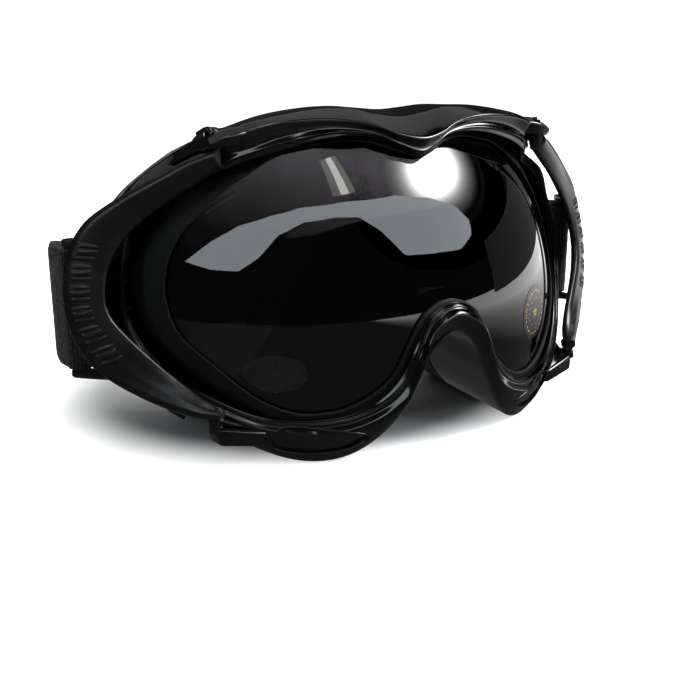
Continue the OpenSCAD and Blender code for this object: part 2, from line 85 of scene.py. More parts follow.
# Rear edge of the front frame, and the line where the face frame meets the foam: x, y, z
REAR = [[0, 20, 101], [9, 20.5, 101.6], [18, 22, 102.2], [28, 24, 101.6], [38, 27, 99.8],
        [47, 30, 96.8], [55, 34, 92.8], [60, 37, 89.8], [67, 41.5, 84.4], [75.5, 46.5, 76.6],
        [83, 51, 67], [86.4, 53, 55.5], [85.4, 51, 40.5], [80.5, 46, 28], [72, 39, 17.5],
        [61, 32, 8.6], [48, 27, 2.4], [36, 24, 3], [26, 21.5, 11], [18, 19.5, 23.5],
        [11, 18.5, 34.5], [0, 18, 39.6]]
FACE_LINE = [[0, 31, 98.6], [9, 31.4, 99.2], [18, 32.6, 99.6], [28, 34.5, 98.8],
             [37, 37, 96.8], [45, 40, 93.8], [52.5, 43.5, 90.2], [57, 46, 87.4], [64, 50, 81.6],
             [71, 54, 74.4], [76.6, 57.5, 65.4], [79, 59.5, 55.5], [78, 57.5, 41],
             [74, 53, 28.5], [67, 47.5, 17], [57.5, 42, 7.6], [47, 37.5, 2.4], [37, 34, 3.6],
             [27.5, 31, 12], [19, 28.5, 24.5], [12, 27, 35.6], [0, 26.4, 41]]
# How round the crest is at each station, in millimetres
CREST_ROUND = [0.9] * 8 + [0.6] * 6 + [1.1] * 3 + [1.8, 2.4, 2.6, 2.6, 2.6]

# Outrigger band on the right side: inner edge, outer edge and share of the full thickness
ARM_IN = [[58.2, 11.8, 86.2], [64, 13.6, 82.6], [71.3, 16.6, 77.9], [78.2, 19.6, 73],
          [84.3, 21.6, 67.4], [88.6, 22.2, 61.3], [91, 21.3, 53], [90.4, 19.4, 46.5],
          [86.5, 15.8, 40.3], [80.5, 11.4, 33.2], [74.5, 7, 27.2], [69.8, 2.6, 23.4],
          [67.2, -2.4, 21.8]]
ARM_OUT = [[62, 9.4, 90.2], [67.8, 13, 88.4], [75.6, 17.2, 84.2], [84.8, 22.4, 78.8],
           [93.6, 26.8, 72.2], [98.8, 28.7, 63.4], [100.8, 27.9, 54], [100.9, 26.3, 45.5],
           [98.6, 23, 36.7], [93.6, 18.2, 29.6], [84.5, 10, 23.6], [75.5, 2.6, 20],
           [69, -3, 18.6]]
ARM_SHARE = [1.05, 1, 0.9, 0.95, 1, 1, 1, 1, 1, 1, 1, 1, 0.9]
ARM_T = 3.6
UPPER_PIVOT = np.array([60.4, 13.2, 90.2])
LOWER_PIVOT = np.array([68.4, 1, 20.5])
AXIS_L = float(np.linalg.norm(LOWER_PIVOT - UPPER_PIVOT))
AXIS = (LOWER_PIVOT - UPPER_PIVOT) / AXIS_L
PIN_R = 1.5
GRIP_LOW, GRIP_STEP, GRIP_COUNT = 36.5, 5.5, 6
BAR_FOOT, BAR_L, BAR_R = np.array([95.2, 34.4, 26.3]), 40.4, 1.8

STRAP_W, STRAP_T = 35, 1.6
BACK_Y, BACK_Z, BACK_HALF = 143, 22.69, 38
STRAP_LINE = [[98, 34.6, 46.5], [98, 45, 46], [93.4, 61, 44.6], [85, 83, 41], [75, 105, 36],
              [62, 125, 30.5], [48, 139.6, 24], [BACK_HALF, BACK_Y, BACK_Z]]
STRAP_SEWN = 1.25
FOAM_T, FLEECE_T = 13, 1.2
ADJUSTER_X, ADJUSTER_L, ADJUSTER_RAIL = 24, 19, 3.6


# ---------------------------------------------------------------- curves
def between(a, b, c, d, t):
    """Point t between b and c on the smooth curve through a, b, c and d."""
    return 0.5 * (2 * b + (c - a) * t + (2 * a - 5 * b + 4 * c - d) * t ** 2
                  + (3 * b - a - 3 * c + d) * t ** 3)


def smooth_closed(points, n):
    p = np.asarray(points, float)
    t = (np.arange(n) / n)[:, None]
    m = len(p)
    spans = [between(p[i - 1], p[i], p[(i + 1) % m], p[(i + 2) % m], t) for i in range(m)]
    return np.concatenate(spans)


def smooth_open(points, n):
    p = np.asarray(points, float)
    p = np.vstack([2 * p[0] - p[1], p, 2 * p[-1] - p[-2]])
    t = (np.arange(n) / n)[:, None]
    spans = [between(p[i], p[i + 1], p[i + 2], p[i + 3], t) for i in range(len(p) - 3)]
    return np.vstack([np.concatenate(spans), p[-2]])


def ring(half):
    """Whole smooth outline from the stations of its right half; the first column mirrors."""
    right = np.asarray(half, float)
    left = right[-2:0:-1] * ([-1] + [1] * (right.shape[1] - 1))
    return smooth_closed(np.vstack([right, left]), SUB)


def ring_value(values):
    """One number per station, spread smoothly round the whole outline, as a column."""
    return ring([[0, v] for v in values])[:, 1:]


def on_lens(xzr):
    """Points given as x, z and distance from the centre of the lens sphere."""
    x, z, r = xzr[:, 0], xzr[:, 1], xzr[:, 2]
    return np.stack([x, LENS_Y - np.sqrt(r ** 2 - x ** 2 - (z - LENS_Z) ** 2), z], 1)


def outward(curve, x=0, z=2):
    """Unit normals of a closed outline in the x-z plane, pointing out of it."""
    t = np.roll(curve, -1, 0) - np.roll(curve, 1, 0)
    n = np.stack([-t[:, z], t[:, x]], 1)
    return n / np.linalg.norm(n, axis=1, keepdims=True)


def grow(curve, d):
    """Outline moved outward by d in the x-z plane."""
    n = outward(curve)
    return curve + np.stack([n[:, 0], 0 * n[:, 0], n[:, 1]], 1) * d


def push(curve, d):
    return curve + [0, d, 0]


def lens_line(d, r):
    """The lens outline grown by d, on a sphere of radius r."""
    edge = ring([p + [0] for p in LENS_EDGE])
    n = outward(edge, 0, 1)
    edge = edge[:, :2] + n * d
    return on_lens(np.column_stack([edge, np.full(len(edge), r)]))


def unit(v):
    return v / np.linalg.norm(v, axis=-1, keepdims=True)


def step(low, high, x):
    t = np.clip((x - low) / (high - low), 0, 1)
    return t * t * (3 - 2 * t)


# ---------------------------------------------------------------- meshes
def rounded(rails, radii, arc=4, fill=2):
    """Closed section round the rails, with each corner rounded off and fill points between."""
    m = len(rails)
    starts, ends = [], []
    for j in range(m):
        before, after = rails[j - 1] - rails[j], rails[(j + 1) % m] - rails[j]
        room = 0.48 * np.minimum(np.linalg.norm(before, axis=1), np.linalg.norm(after, axis=1))
        r = np.minimum(radii[j], room[:, None])
        starts.append(rails[j] + unit(before) * r)
        ends.append(rails[j] + unit(after) * r)
    rows = []
    for j in range(m):
        for k in range(arc + 1):
            t = k / arc
            rows.append((1 - t) ** 2 * starts[j] + 2 * t * (1 - t) * rails[j] + t * t * ends[j])
        for k in range(fill):
            t = (k + 1) / (fill + 1)
            rows.append(ends[j] * (1 - t) + starts[(j + 1) % m] * t)
    return np.stack(rows, 1)


def grid_faces(rows, cols, wrap_rows, wrap_cols):
    i, j = np.meshgrid(np.arange(rows if wrap_rows else rows - 1),
                       np.arange(cols if wrap_cols else cols - 1), indexing="ij")
    k, l = (i + 1) % rows, (j + 1) % cols
    quads = np.stack([i * cols + j, i * cols + l, k * cols + l, k * cols + j], -1)
    return quads.reshape(-1, 4).tolist()


def new_mesh(name, points, faces, uv=None):
    """Object from points in the drawing frame, in millimetres. uv gives one pair per point."""
    mesh = bpy.data.meshes.new(name)
    mesh.from_pydata(((np.asarray(points) - ORIGIN) * MM).tolist(), [], faces)
    if uv is not None:
        layer = mesh.uv_layers.new(name="UVMap")
        corner = np.zeros(len(mesh.loops), np.int32)
        mesh.loops.foreach_get("vertex_index", corner)
        layer.data.foreach_set("uv", np.asarray(uv, np.float32)[corner].ravel())
    mesh.shade_smooth()
    obj = bpy.data.objects.new(name, mesh)
    bpy.context.scene.collection.objects.link(obj)
    return obj


def fix_normals(obj):
    bm = bmesh.new()
    bm.from_mesh(obj.data)
    bmesh.ops.recalc_face_normals(bm, faces=bm.faces)
    bm.to_mesh(obj.data)
    bm.free()
    return obj


def ring_mesh(name, grid, uv=None):
    """Closed ring of closed sections; grid is stations x section points x 3."""
    n, m = grid.shape[:2]
    return fix_normals(new_mesh(name, grid.reshape(-1, 3), grid_faces(n, m, True, True), uv))


def capped_mesh(name, grid, uv=None):
    """Open loft of closed sections with flat ends."""
    n, m = grid.shape[:2]
    faces = grid_faces(n, m, False, True)
    faces += [list(range(m - 1, -1, -1)), list(range((n - 1) * m, n * m))]
    return fix_normals(new_mesh(name, grid.reshape(-1, 3), faces, uv))


def even_normals(obj):
    """Keeps flat stretches flat beside the small rounded corners."""
    modifier = obj.modifiers.new("even normals", "WEIGHTED_NORMAL")
    modifier.weight = 50
    return obj


def sharp_smooth(obj, degrees=35):
    obj.data.shade_smooth()
    obj.data.set_sharp_from_angle(angle=math.radians(degrees))
    return obj


def apply_modifiers(obj):
    graph = bpy.context.evaluated_depsgraph_get()
    mesh = bpy.data.meshes.new_from_object(obj.evaluated_get(graph))
    obj.modifiers.clear()
    obj.data = mesh
    return obj


def ball_points(centre, r, n=12):
    """Points of a small ball, for hulls."""
    u = np.arange(n) / n * 2 * math.pi
    v = (np.arange(n // 2 + 1) / (n // 2) - 0.5) * math.pi
    u, v = np.meshgrid(u, v)
    unit_ball = np.stack([np.cos(u) * np.cos(v), np.sin(u) * np.cos(v), np.sin(v)], -1)
    return np.asarray(centre) + unit_ball.reshape(-1, 3) * r


def hull_mesh(name, points):
    obj = new_mesh(name, points, [])
    bm = bmesh.new()
    bm.from_mesh(obj.data)
    made = bmesh.ops.convex_hull(bm, input=bm.verts)
    inside = {v for v in made["geom_interior"] if isinstance(v, bmesh.types.BMVert)}
    bmesh.ops.delete(bm, geom=list(inside), context="VERTS")
    bmesh.ops.recalc_face_normals(bm, faces=bm.faces)
    bm.to_mesh(obj.data)
    bm.free()
    return sharp_smooth(obj, 40)


def lathe(name, foot, axis, profile, n=48):
    """Solid of revolution; profile is a closed list of (distance along the axis, radius)."""
    axis = unit(np.asarray(axis, float))
    side = unit(np.cross(axis, [0.3, 1, 0.2]))
    other = np.cross(axis, side)
    turn = np.arange(n) / n * 2 * math.pi
    spokes = np.cos(turn)[:, None] * side + np.sin(turn)[:, None] * other
    grid = np.stack([np.asarray(foot) + axis * h + spokes * r for h, r in profile], 1)
    return sharp_smooth(ring_mesh(name, grid))


def tube(name, line, r, n=8, closed=False):
    """Round tube along a line of points."""
    line = np.asarray(line, float)
    if closed:
        run = unit(np.roll(line, -1, 0) - np.roll(line, 1, 0))
    else:
        run = unit(np.gradient(line, axis=0))
    side = unit(np.cross(run, [0.12, 0.2, 1]))
    other = np.cross(run, side)
    turn = np.arange(n) / n * 2 * math.pi
    grid = np.stack([line + side * math.cos(a) * r + other * math.sin(a) * r for a in turn], 1)
    return ring_mesh(name, grid) if closed else capped_mesh(name, grid)


def rounded_box(name, low, high, bevel):
    """Box with rounded edges between two corners, in the drawing frame."""
    low, high = np.minimum(low, high), np.maximum(low, high)
    corners = [[(low, high)[i][0], (low, high)[j][1], (low, high)[k][2]]
               for i in (0, 1) for j in (0, 1) for k in (0, 1)]
    faces = [[0, 1, 3, 2], [4, 6, 7, 5], [0, 4, 5, 1], [2, 3, 7, 6], [0, 2, 6, 4], [1, 5, 7, 3]]
    obj = new_mesh(name, corners, faces)
    bm = bmesh.new()
    bm.from_mesh(obj.data)
    bmesh.ops.bevel(bm, geom=bm.edges[:], offset=bevel * MM, segments=3, profile=0.5,
                    affect="EDGES")
    bmesh.ops.recalc_face_normals(bm, faces=bm.faces)
    bm.to_mesh(obj.data)
    bm.free()
    obj.data.shade_smooth()
    return even_normals(obj)


def join(name, objects):
    """Joins pieces into the first one, and keeps their own closed shells."""
    for o in objects:
        apply_modifiers(o)
    with bpy.context.temp_override(active_object=objects[0], object=objects[0],
                                   selected_editable_objects=objects,
                                   selected_objects=objects):
        bpy.ops.object.join()
    objects[0].name = name
    objects[0].data.name = name
    return objects[0]


def mirrored(obj, name):
    """Copy of a right-hand piece for the left side."""
    twin = obj.copy()
    twin.data = obj.data.copy()
    twin.name = name
    twin.data.name = name
    bpy.context.scene.collection.objects.link(twin)
    co = np.zeros(len(twin.data.vertices) * 3, np.float32)
    twin.data.vertices.foreach_get("co", co)
    co = co.reshape(-1, 3) * [-1, 1, 1]
    twin.data.vertices.foreach_set("co", co.astype(np.float32).ravel())
    twin.data.flip_normals()
    twin.data.update()
    return twin


# ---------------------------------------------------------------- materials
def node(tree, kind, **inputs):
    made = tree.nodes.new(kind)
    for key, value in inputs.items():
        made.inputs[key.replace("_", " ")].default_value = value
    return made


def new_material(name, **shader):
    """Material with a Principled shader; shader's numbers go straight onto its sockets."""
    m = bpy.data.materials.new(name)
    m.use_nodes = True
    bsdf = m.node_tree.nodes["Principled BSDF"]
    for key, value in shader.items():
        bsdf.inputs[key.replace("_", " ")].default_value = value
    return m, m.node_tree, bsdf


def noise(tree, scale, detail=4, rough=0.5, coord="Object", stretch=(1, 1, 1)):
    where = tree.nodes.new("ShaderNodeTexCoord")
    mapping = node(tree, "ShaderNodeMapping", Scale=stretch)
    texture = node(tree, "ShaderNodeTexNoise", Scale=scale, Detail=detail, Roughness=rough)
    tree.links.new(where.outputs[coord], mapping.inputs["Vector"])
    tree.links.new(mapping.outputs["Vector"], texture.inputs["Vector"])
    return texture.outputs["Fac"]


def ramp(tree, source, stops):
    made = tree.nodes.new("ShaderNodeValToRGB")
    tree.links.new(source, made.inputs["Fac"])
    elements = made.color_ramp.elements
    while len(elements) < len(stops):
        elements.new(0.5)
    for element, (place, colour) in zip(elements, stops):
        element.position = place
        element.color = (*colour, 1)
    return made.outputs["Color"]


def spread(tree, source, low, high):
    made = node(tree, "ShaderNodeMapRange", To_Min=low, To_Max=high)
    made.inputs["From Min"].default_value = 0.3
    made.inputs["From Max"].default_value = 0.7
    tree.links.new(source, made.inputs["Value"])
    return made.outputs["Result"]


def bump(tree, bsdf, source, distance, strength=1.0, under=None):
    made = node(tree, "ShaderNodeBump", Strength=strength, Distance=distance)
    tree.links.new(source, made.inputs["Height"])
    if under is not None:
        tree.links.new(under, made.inputs["Normal"])
    tree.links.new(made.outputs["Normal"], bsdf.inputs["Normal"])
    return made.outputs["Normal"]


def plastic(name, dark, light, rough, grain_mm, grain_depth, **shader):
    """Moulded plastic: slight colour drift, uneven gloss, fine scuffs and a moulded grain."""
    m, tree, bsdf = new_material(name, **shader)
    drift = noise(tree, 35, 3)
    tree.links.new(ramp(tree, drift, [(0.35, dark), (0.65, light)]), bsdf.inputs["Base Color"])
    scuffs = noise(tree, 260, 6, 0.7, stretch=(1, 1, 4))
    tree.links.new(spread(tree, scuffs, rough[0], rough[1]), bsdf.inputs["Roughness"])
    waves = bump(tree, bsdf, noise(tree, 60, 1), 0.00004)
    bump(tree, bsdf, noise(tree, 1000 / grain_mm, 2), grain_depth * MM, under=waves)
    return m


def gloss_black():
    return plastic("gloss_black", (0.0024, 0.002, 0.0022), (0.005, 0.0038, 0.0044),
                   (0.06, 0.14), 1.2, 0.0015)


def satin_black():
    return plastic("satin_black", (0.004, 0.0036, 0.0038), (0.008, 0.0066, 0.007),
                   (0.26, 0.36), 0.35, 0.004, Specular_IOR_Level=0.38)


def matte_black():
    return plastic("matte_black", (0.0025, 0.0025, 0.0027), (0.005, 0.005, 0.0052),
                   (0.5, 0.68), 0.25, 0.008, Specular_IOR_Level=0.25)


def inset_black():
    return plastic("inset_black", (0.003, 0.003, 0.0033), (0.006, 0.006, 0.0065),
                   (0.1, 0.2), 0.8, 0.002)


def buckle_black():
    return plastic("buckle_black", (0.008, 0.008, 0.009), (0.016, 0.016, 0.017),
                   (0.22, 0.36), 0.3, 0.006)


def dark_steel():
    m, tree, bsdf = new_material("dark_steel", Metallic=1.0)
    turned = noise(tree, 900, 3, coord="Object", stretch=(1, 1, 0.08))
    tree.links.new(ramp(tree, turned, [(0.3, (0.10, 0.10, 0.105)), (0.7, (0.2, 0.2, 0.21))]),
                   bsdf.inputs["Base Color"])
    tree.links.new(spread(tree, turned, 0.2, 0.38), bsdf.inputs["Roughness"])
    bump(tree, bsdf, turned, 0.00001)
    return m


def smoke_lens():
    """Dark polished polycarbonate; a trace of haze and polish marks."""
    m, tree, bsdf = new_material("smoke_lens", IOR=1.6, Transmission_Weight=1.0)
    haze = noise(tree, 25, 2)
    tree.links.new(ramp(tree, haze, [(0.3, (0.03, 0.028, 0.03)), (0.7, (0.04, 0.037, 0.038))]),
                   bsdf.inputs["Base Color"])
    tree.links.new(spread(tree, noise(tree, 12, 3), 0.0, 0.012), bsdf.inputs["Roughness"])
    return m


def clear_lens():
    m, tree, bsdf = new_material("clear_lens", IOR=1.49, Transmission_Weight=1.0)
    haze = noise(tree, 30, 2)
    tree.links.new(ramp(tree, haze, [(0.3, (0.86, 0.88, 0.9)), (0.7, (0.93, 0.94, 0.95))]),
                   bsdf.inputs["Base Color"])
    tree.links.new(spread(tree, noise(tree, 300, 4, 0.7), 0.01, 0.06), bsdf.inputs["Roughness"])
    return m


def open_foam():
    """Open-cell foam: a field of small pits, with painted shade darkening each pit, under a dusty
    sheen.
    """
    m, tree, bsdf = new_material("open_foam", Sheen_Weight=0.25, Sheen_Roughness=0.6)
    where = tree.nodes.new("ShaderNodeTexCoord")
    pit_depth_and_shade = node(tree, "ShaderNodeTexVoronoi", Scale=1500.0)
    tree.links.new(where.outputs["Object"], pit_depth_and_shade.inputs["Vector"])
    # Painted shade: the colour darkens toward each pit's middle, as shade in the pits would
    tree.links.new(ramp(tree, pit_depth_and_shade.outputs["Distance"],
                        [(0.1, (0.006, 0.006, 0.007)), (0.6, (0.03, 0.03, 0.032))]),
                   bsdf.inputs["Base Color"])
    tree.links.new(spread(tree, noise(tree, 200, 3), 0.85, 0.98), bsdf.inputs["Roughness"])
    coarse = bump(tree, bsdf, noise(tree, 180, 4), 0.0003)
    bump(tree, bsdf, pit_depth_and_shade.outputs["Distance"], 0.00035, under=coarse)
    return m


def brushed_fleece():
    """Short brushed pile with soft direction changes."""
    m, tree, bsdf = new_material("brushed_fleece", Sheen_Weight=0.6, Sheen_Roughness=0.45)
    pile = noise(tree, 2600, 4, 0.8, stretch=(1, 0.35, 1))
    tree.links.new(ramp(tree, noise(tree, 90, 5, 0.6),
                        [(0.3, (0.008, 0.008, 0.009)), (0.7, (0.022, 0.022, 0.024))]),
                   bsdf.inputs["Base Color"])
    tree.links.new(spread(tree, pile, 0.8, 1.0), bsdf.inputs["Roughness"])
    nap = bump(tree, bsdf, noise(tree, 160, 3), 0.0003)
    bump(tree, bsdf, pile, 0.00025, under=nap)
    return m


def webbing(name="webbing"):
    """Woven elastic: cross ribs, the small floats between them, and plain edges, with painted shade
    where the weave sits low.
    Its UV map runs along and across the band in metres."""
    m, tree, bsdf = new_material(name, Sheen_Weight=0.2, Sheen_Roughness=0.4,
                                 Specular_IOR_Level=0.25)
    where = tree.nodes.new("ShaderNodeTexCoord")
    link = tree.links.new

    def ribs(direction, pitch, phase=0.0):
        wave = node(tree, "ShaderNodeTexWave", Scale=0.314 / pitch, Distortion=0.6, Detail=1.0,
                    Detail_Scale=1.5, Phase_Offset=phase)
        wave.wave_type = "BANDS"
        wave.bands_direction = direction
        link(where.outputs["UV"], wave.inputs["Vector"])
        return wave.outputs["Fac"]

    across, along = ribs("X", 0.0011), ribs("Y", 0.0007)
    weave_rise_and_shade = node(tree, "ShaderNodeMath")
    weave_rise_and_shade.operation = "MULTIPLY"
    link(across, weave_rise_and_shade.inputs[0])
    link(along, weave_rise_and_shade.inputs[1])
    # Painted shade: the colour is darkest where the weave sits lowest and lightest on the raised
    # floats
    link(ramp(tree, weave_rise_and_shade.outputs[0],
              [(0.0, (0.0015, 0.0015, 0.002)), (0.5, (0.006, 0.006, 0.008)),
               (1.0, (0.012, 0.012, 0.016))]), bsdf.inputs["Base Color"])
    link(spread(tree, noise(tree, 500, 3, coord="UV"), 0.62, 0.85), bsdf.inputs["Roughness"])
    fuzz = bump(tree, bsdf, noise(tree, 2200, 3, 0.8, coord="UV"), 0.00012)
    bump(tree, bsdf, weave_rise_and_shade.outputs[0], 0.00035, under=fuzz)
    return m


def label_film(name, dark, light, rough, **shader):
    m, tree, bsdf = new_material(name, **shader)
    tree.links.new(ramp(tree, noise(tree, 120, 3), [(0.3, dark), (0.7, light)]),
                   bsdf.inputs["Base Color"])
    tree.links.new(spread(tree, noise(tree, 600, 3), rough[0], rough[1]),
                   bsdf.inputs["Roughness"])
    bump(tree, bsdf, noise(tree, 150, 2), 0.00002)
    return m


MATERIALS = {
    "frame_gloss": gloss_black(),
    "arm_plastic": satin_black(),
    "matte_rubber": matte_black(),
    "pad_plastic": inset_black(),
    "smoke_lens": smoke_lens(),
    "clear_lens": clear_lens(),
    "foam": open_foam(),
    "fleece": brushed_fleece(),
    "strap_webbing": webbing(),
    "adjuster_plastic": buckle_black(),
    "steel": dark_steel(),
    "gold_label": label_film("gold_print", (0.42, 0.29, 0.07), (0.62, 0.45, 0.14), (0.2, 0.4),
                             Metallic=0.7),
    "clear_label": label_film("clear_film", (0.86, 0.88, 0.88), (0.94, 0.95, 0.95), (0.08, 0.22),
                              Transmission_Weight=1.0, IOR=1.45),
}
label_base = label_film("dark_film", (0.012, 0.012, 0.014), (0.022, 0.021, 0.024), (0.1, 0.2))
thread = label_film("thread", (0.02, 0.02, 0.024), (0.045, 0.045, 0.05), (0.6, 0.8),
                    Sheen_Weight=0.4)


def dress(obj, slot, body="root", nodes=(), look=None):
    """Gives a piece the material for its slot, puts it on its body, and hides the CAD nodes that it
    stands for.
    """
    obj.data.materials.clear()
    obj.data.materials.append(look or MATERIALS[slot])
    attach(obj, body)
    if nodes:
        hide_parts(*nodes)
    return obj


# ---------------------------------------------------------------- front frame
def wall_line(edge, a):
    """Inner wall of the frame: outside the lens carrier, and outside the rail where it is wider."""
    n = outward(edge, 0, 1)
    reach = ((a[:, [0, 2]] - edge[:, :2]) * n).sum(1) + 0.8
    line = edge[:, :2] + n * np.maximum(CARRIER_W + 0.3, reach)[:, None]
    return on_lens(np.column_stack([line, np.full(len(line), LENS_R + 1.6)]))


def crown(a, c, depth):
    """Middle of the surface between two rails, moved off the straight by a share of its width."""
    width = np.linalg.norm((a - c)[:, :2], axis=1)
    middle = (a + c) / 2
    middle[:, 2] += depth * width
    return on_lens(middle)


def frame_shell():
    edge = ring([p + [0] for p in LENS_EDGE])
    a3, c3, o3 = ring(RAIL_IN), ring(CREST), ring(RAIL_OUT)
    a, c, o, b = on_lens(a3), on_lens(c3), on_lens(o3), ring(REAR)
    w = wall_line(edge, a)
    lip = a * 0.9 + w * 0.1
    lip = on_lens(np.column_stack([lip[:, 0], lip[:, 2], np.full(len(lip), LENS_R + 1.6)]))
    sill = [on_lens(a3 * (1 - k) + c3 * k + [0, 0, lift])
            for k, lift in ((0.2, 0), (0.26, 0.5))]
    rails = [a, sill[0], sill[1], crown(a3, c3, -0.09), c, crown(c3, o3, 0.03), o, (o + b) / 2, b,
             grow(b, -2.2), push(w, 9), w, lip]
    radii = [0.4, 0.3, 0.3, 4, ring_value(CREST_ROUND), 4, 1.7, 6, 0.5, 0.5, 2, 0.5, 0.4]
    return even_normals(ring_mesh("front_frame", rounded(rails, radii, 5, 2)))


def slot_outline(inset):
    """Rounded slot in the front of the right cheek lobe, narrower toward the nose: x, z."""
    curve = smooth_closed(SLOT, 8)
    return curve - outward(curve, 0, 1) * inset


def slab(name, outline, near, far):
    """Piece between two depths behind the front of the cheek lobe, inside an outline in x, z."""
    middle = outline.mean(0)
    shares = (0.35, 0.7, 1)
    skins = []
    for depth in (near, far):
        rows = []
        for k in shares:
            ring_xz = middle + (outline - middle) * k
            rows.append(np.array([front_of(x, z) + [0, depth, 0] for x, z in ring_xz]))
        skins.append(np.stack(rows))
    rim = np.concatenate([skins[0], skins[1][::-1]])
    n = len(outline)
    poles = [front_of(*middle) + [0, depth, 0] for depth in (near, far)]
    last = (len(rim) - 1) * n
    first, second = len(rim) * n, len(rim) * n + 1
    faces = grid_faces(len(rim), n, False, True)
    faces += [[first, (k + 1) % n, k] for k in range(n)]
    faces += [[second, last + k, last + (k + 1) % n] for k in range(n)]
    points = np.vstack([rim.reshape(-1, 3), poles])
    return sharp_smooth(fix_normals(new_mesh(name, points, faces)), 40)


def cut(obj, cutters):
    """Takes the cutters out of obj."""
    tool = join("cutters", cutters)
    modifier = obj.modifiers.new("cut", "BOOLEAN")
    modifier.operation = "DIFFERENCE"
    modifier.solver = "EXACT"
    modifier.object = tool
    apply_modifiers(obj)
    bpy.data.objects.remove(tool)
    return obj


def hood():
    """Roof that carries the brow's ledge on over the arm's end and down to the rear edge."""
    corners = [smooth_open([section[k] for section in HOOD], 10) for k in range(4)]
    return even_normals(capped_mesh("hood", rounded(corners, [0.7, 1.3, 0.8, 0.8], 4, 3)))


def make_shell():
    shell = frame_shell()
    apply_modifiers(shell)
    tree = BVHTree.FromObject(shell, bpy.context.evaluated_depsgraph_get())

    def front_point(x, z):
        """Point on the front of the frame at x, z, in the drawing frame."""
        start = Vector(((np.array([x, -80, z]) - ORIGIN) * MM).tolist())
        hit = tree.ray_cast(start, Vector((0, 1, 0)))[0]
        return np.array(hit) / MM + ORIGIN

    return shell, front_point


def make_front_frame(shell):
    cutters = [slab("slot", slot_outline(0), -6, 2.4)]
    for i in range(5):
        cutters.append(rounded_box("window", [79, 36, 30.5 + 8 * i],
                                   [91, 47, 36.1 + 8 * i], 1.2))
    cutters += [mirrored(c, "left_cutter") for c in cutters]
    cut(shell, cutters)
    sharp_smooth(shell, 50)
    even_normals(shell).modifiers["even normals"].keep_sharp = True

    bead_line = np.array([front_of(x, z) for x, z in slot_outline(-0.3)])
    bead = tube("slot_bead", bead_line + [0, 0.15, 0], 0.42, 10, closed=True)
    lug = hull_mesh("hinge_lug", np.vstack(
        [ball_points(UPPER_PIVOT + AXIS * d + s, 0.5) for d in (-5.6, -4.4) for s in LUG_RIM]
        + [ball_points([57, 22, 93.6], 1.6), ball_points([54, 15, 94.6], 1.2)]))
    wing = hull_mesh("lower_wing", np.vstack([ball_points(p, r, 16) for p, r in WING]))
    web = hull_mesh("wing_web", np.vstack([ball_points(p, 0.7) for p in WING_WEB]))
    boss = hull_mesh("lower_boss", np.vstack(
        [ball_points(LOWER_PIVOT + AXIS * d + s, 0.4) for d in (3.2, 6.2) for s in BOSS_RIM]
        + [ball_points([66.5, 6, 15], 1.4), ball_points([67.6, -0.2, 16], 0.6),
           ball_points([69, 2, 16.2], 0.6)]))
    parts = []
    for piece in (bead, hood(), lug, wing, web, boss):
        parts += [piece, mirrored(piece, piece.name + "_left")]
    whole = join("front_frame", [shell] + parts)
    dress(whole, "frame_gloss", nodes=["front_frame"])

    pad = slab("cheek_pad_right", slot_outline(0.25), 1.1, 2.3)
    dress(mirrored(pad, "cheek_pad_left"), "pad_plastic", nodes=["cheek_pad_left"])
    dress(pad, "pad_plastic", nodes=["cheek_pad_right"])


SPOKES = [np.cross(AXIS, unit(np.array([math.cos(a), math.sin(a), 0.2])))
          for a in np.arange(12) * math.pi / 6]
LUG_RIM = [spoke * 2.0 for spoke in SPOKES]
BOSS_RIM = [spoke * 1.6 for spoke in SPOKES]
WING = [([67.9, -0.9, 14.4], 1.0), ([67.2, -1.0, 11.4], 1.3), ([68, 4, 14.4], 1.0),
        ([67.4, 4, 11.2], 1.3), ([64, 9, 12], 1.6), ([55.6, -4, 12.2], 0.8),
        ([55.6, -3.6, 9.3], 0.9), ([56, 5, 8], 1.8)]
WING_WEB = [[68, 7, 18.6], [62.4, 1.2, 15.4], [56.6, -3, 12.6], [67.6, 0.4, 14.6],
            [67.8, 4, 15], [60, 8, 12]]
# Corners of the roof's sections: front edge, top, back, and under the front edge
HOOD = [[[50.5, 8.0, 96.3], [51, 11.5, 98.0], [51, 20, 96], [50.8, 10, 92.5]],
        [[55.6, 7.2, 95.6], [55.6, 10.5, 97.6], [55.6, 21, 96.6], [55.6, 9, 91.8]],
        [[59.8, 7.4, 94.6], [59.4, 11.5, 96.5], [58.2, 23, 95.8], [60.2, 9.2, 91.8]],
        [[62.9, 9.4, 92.9], [61.9, 15, 95], [59.4, 26.5, 94.4], [63.0, 11.0, 91.2]],
        [[64.2, 15.5, 91.2], [62.6, 21.5, 93.4], [59.8, 29, 92.6], [63.6, 17, 89.8]],
        [[65.2, 23.5, 88.6], [63.2, 28, 91.2], [60.2, 32, 90], [63.4, 24.5, 87]],
        [[68.2, 32, 84.8], [65, 34, 88], [62, 36, 86.4], [65, 32.5, 83.4]],
        [[72.2, 38.6, 80.4], [70.4, 41, 82.6], [67.6, 40.5, 81], [69.6, 37, 79.4]],
        [[77, 42, 74.2], [76, 43.6, 75.6], [73.6, 42.6, 75], [74.6, 41, 74]]]
SLOT = [[52.3, 12.9], [53.2, 10], [51.9, 7], [47.5, 5.7], [42, 5.1], [34.5, 5.8], [29, 8.2],
        [28.4, 10], [33, 11.6], [42, 12.9], [48.6, 13.7]]

frame_body, front_of = make_shell()
make_front_frame(frame_body)


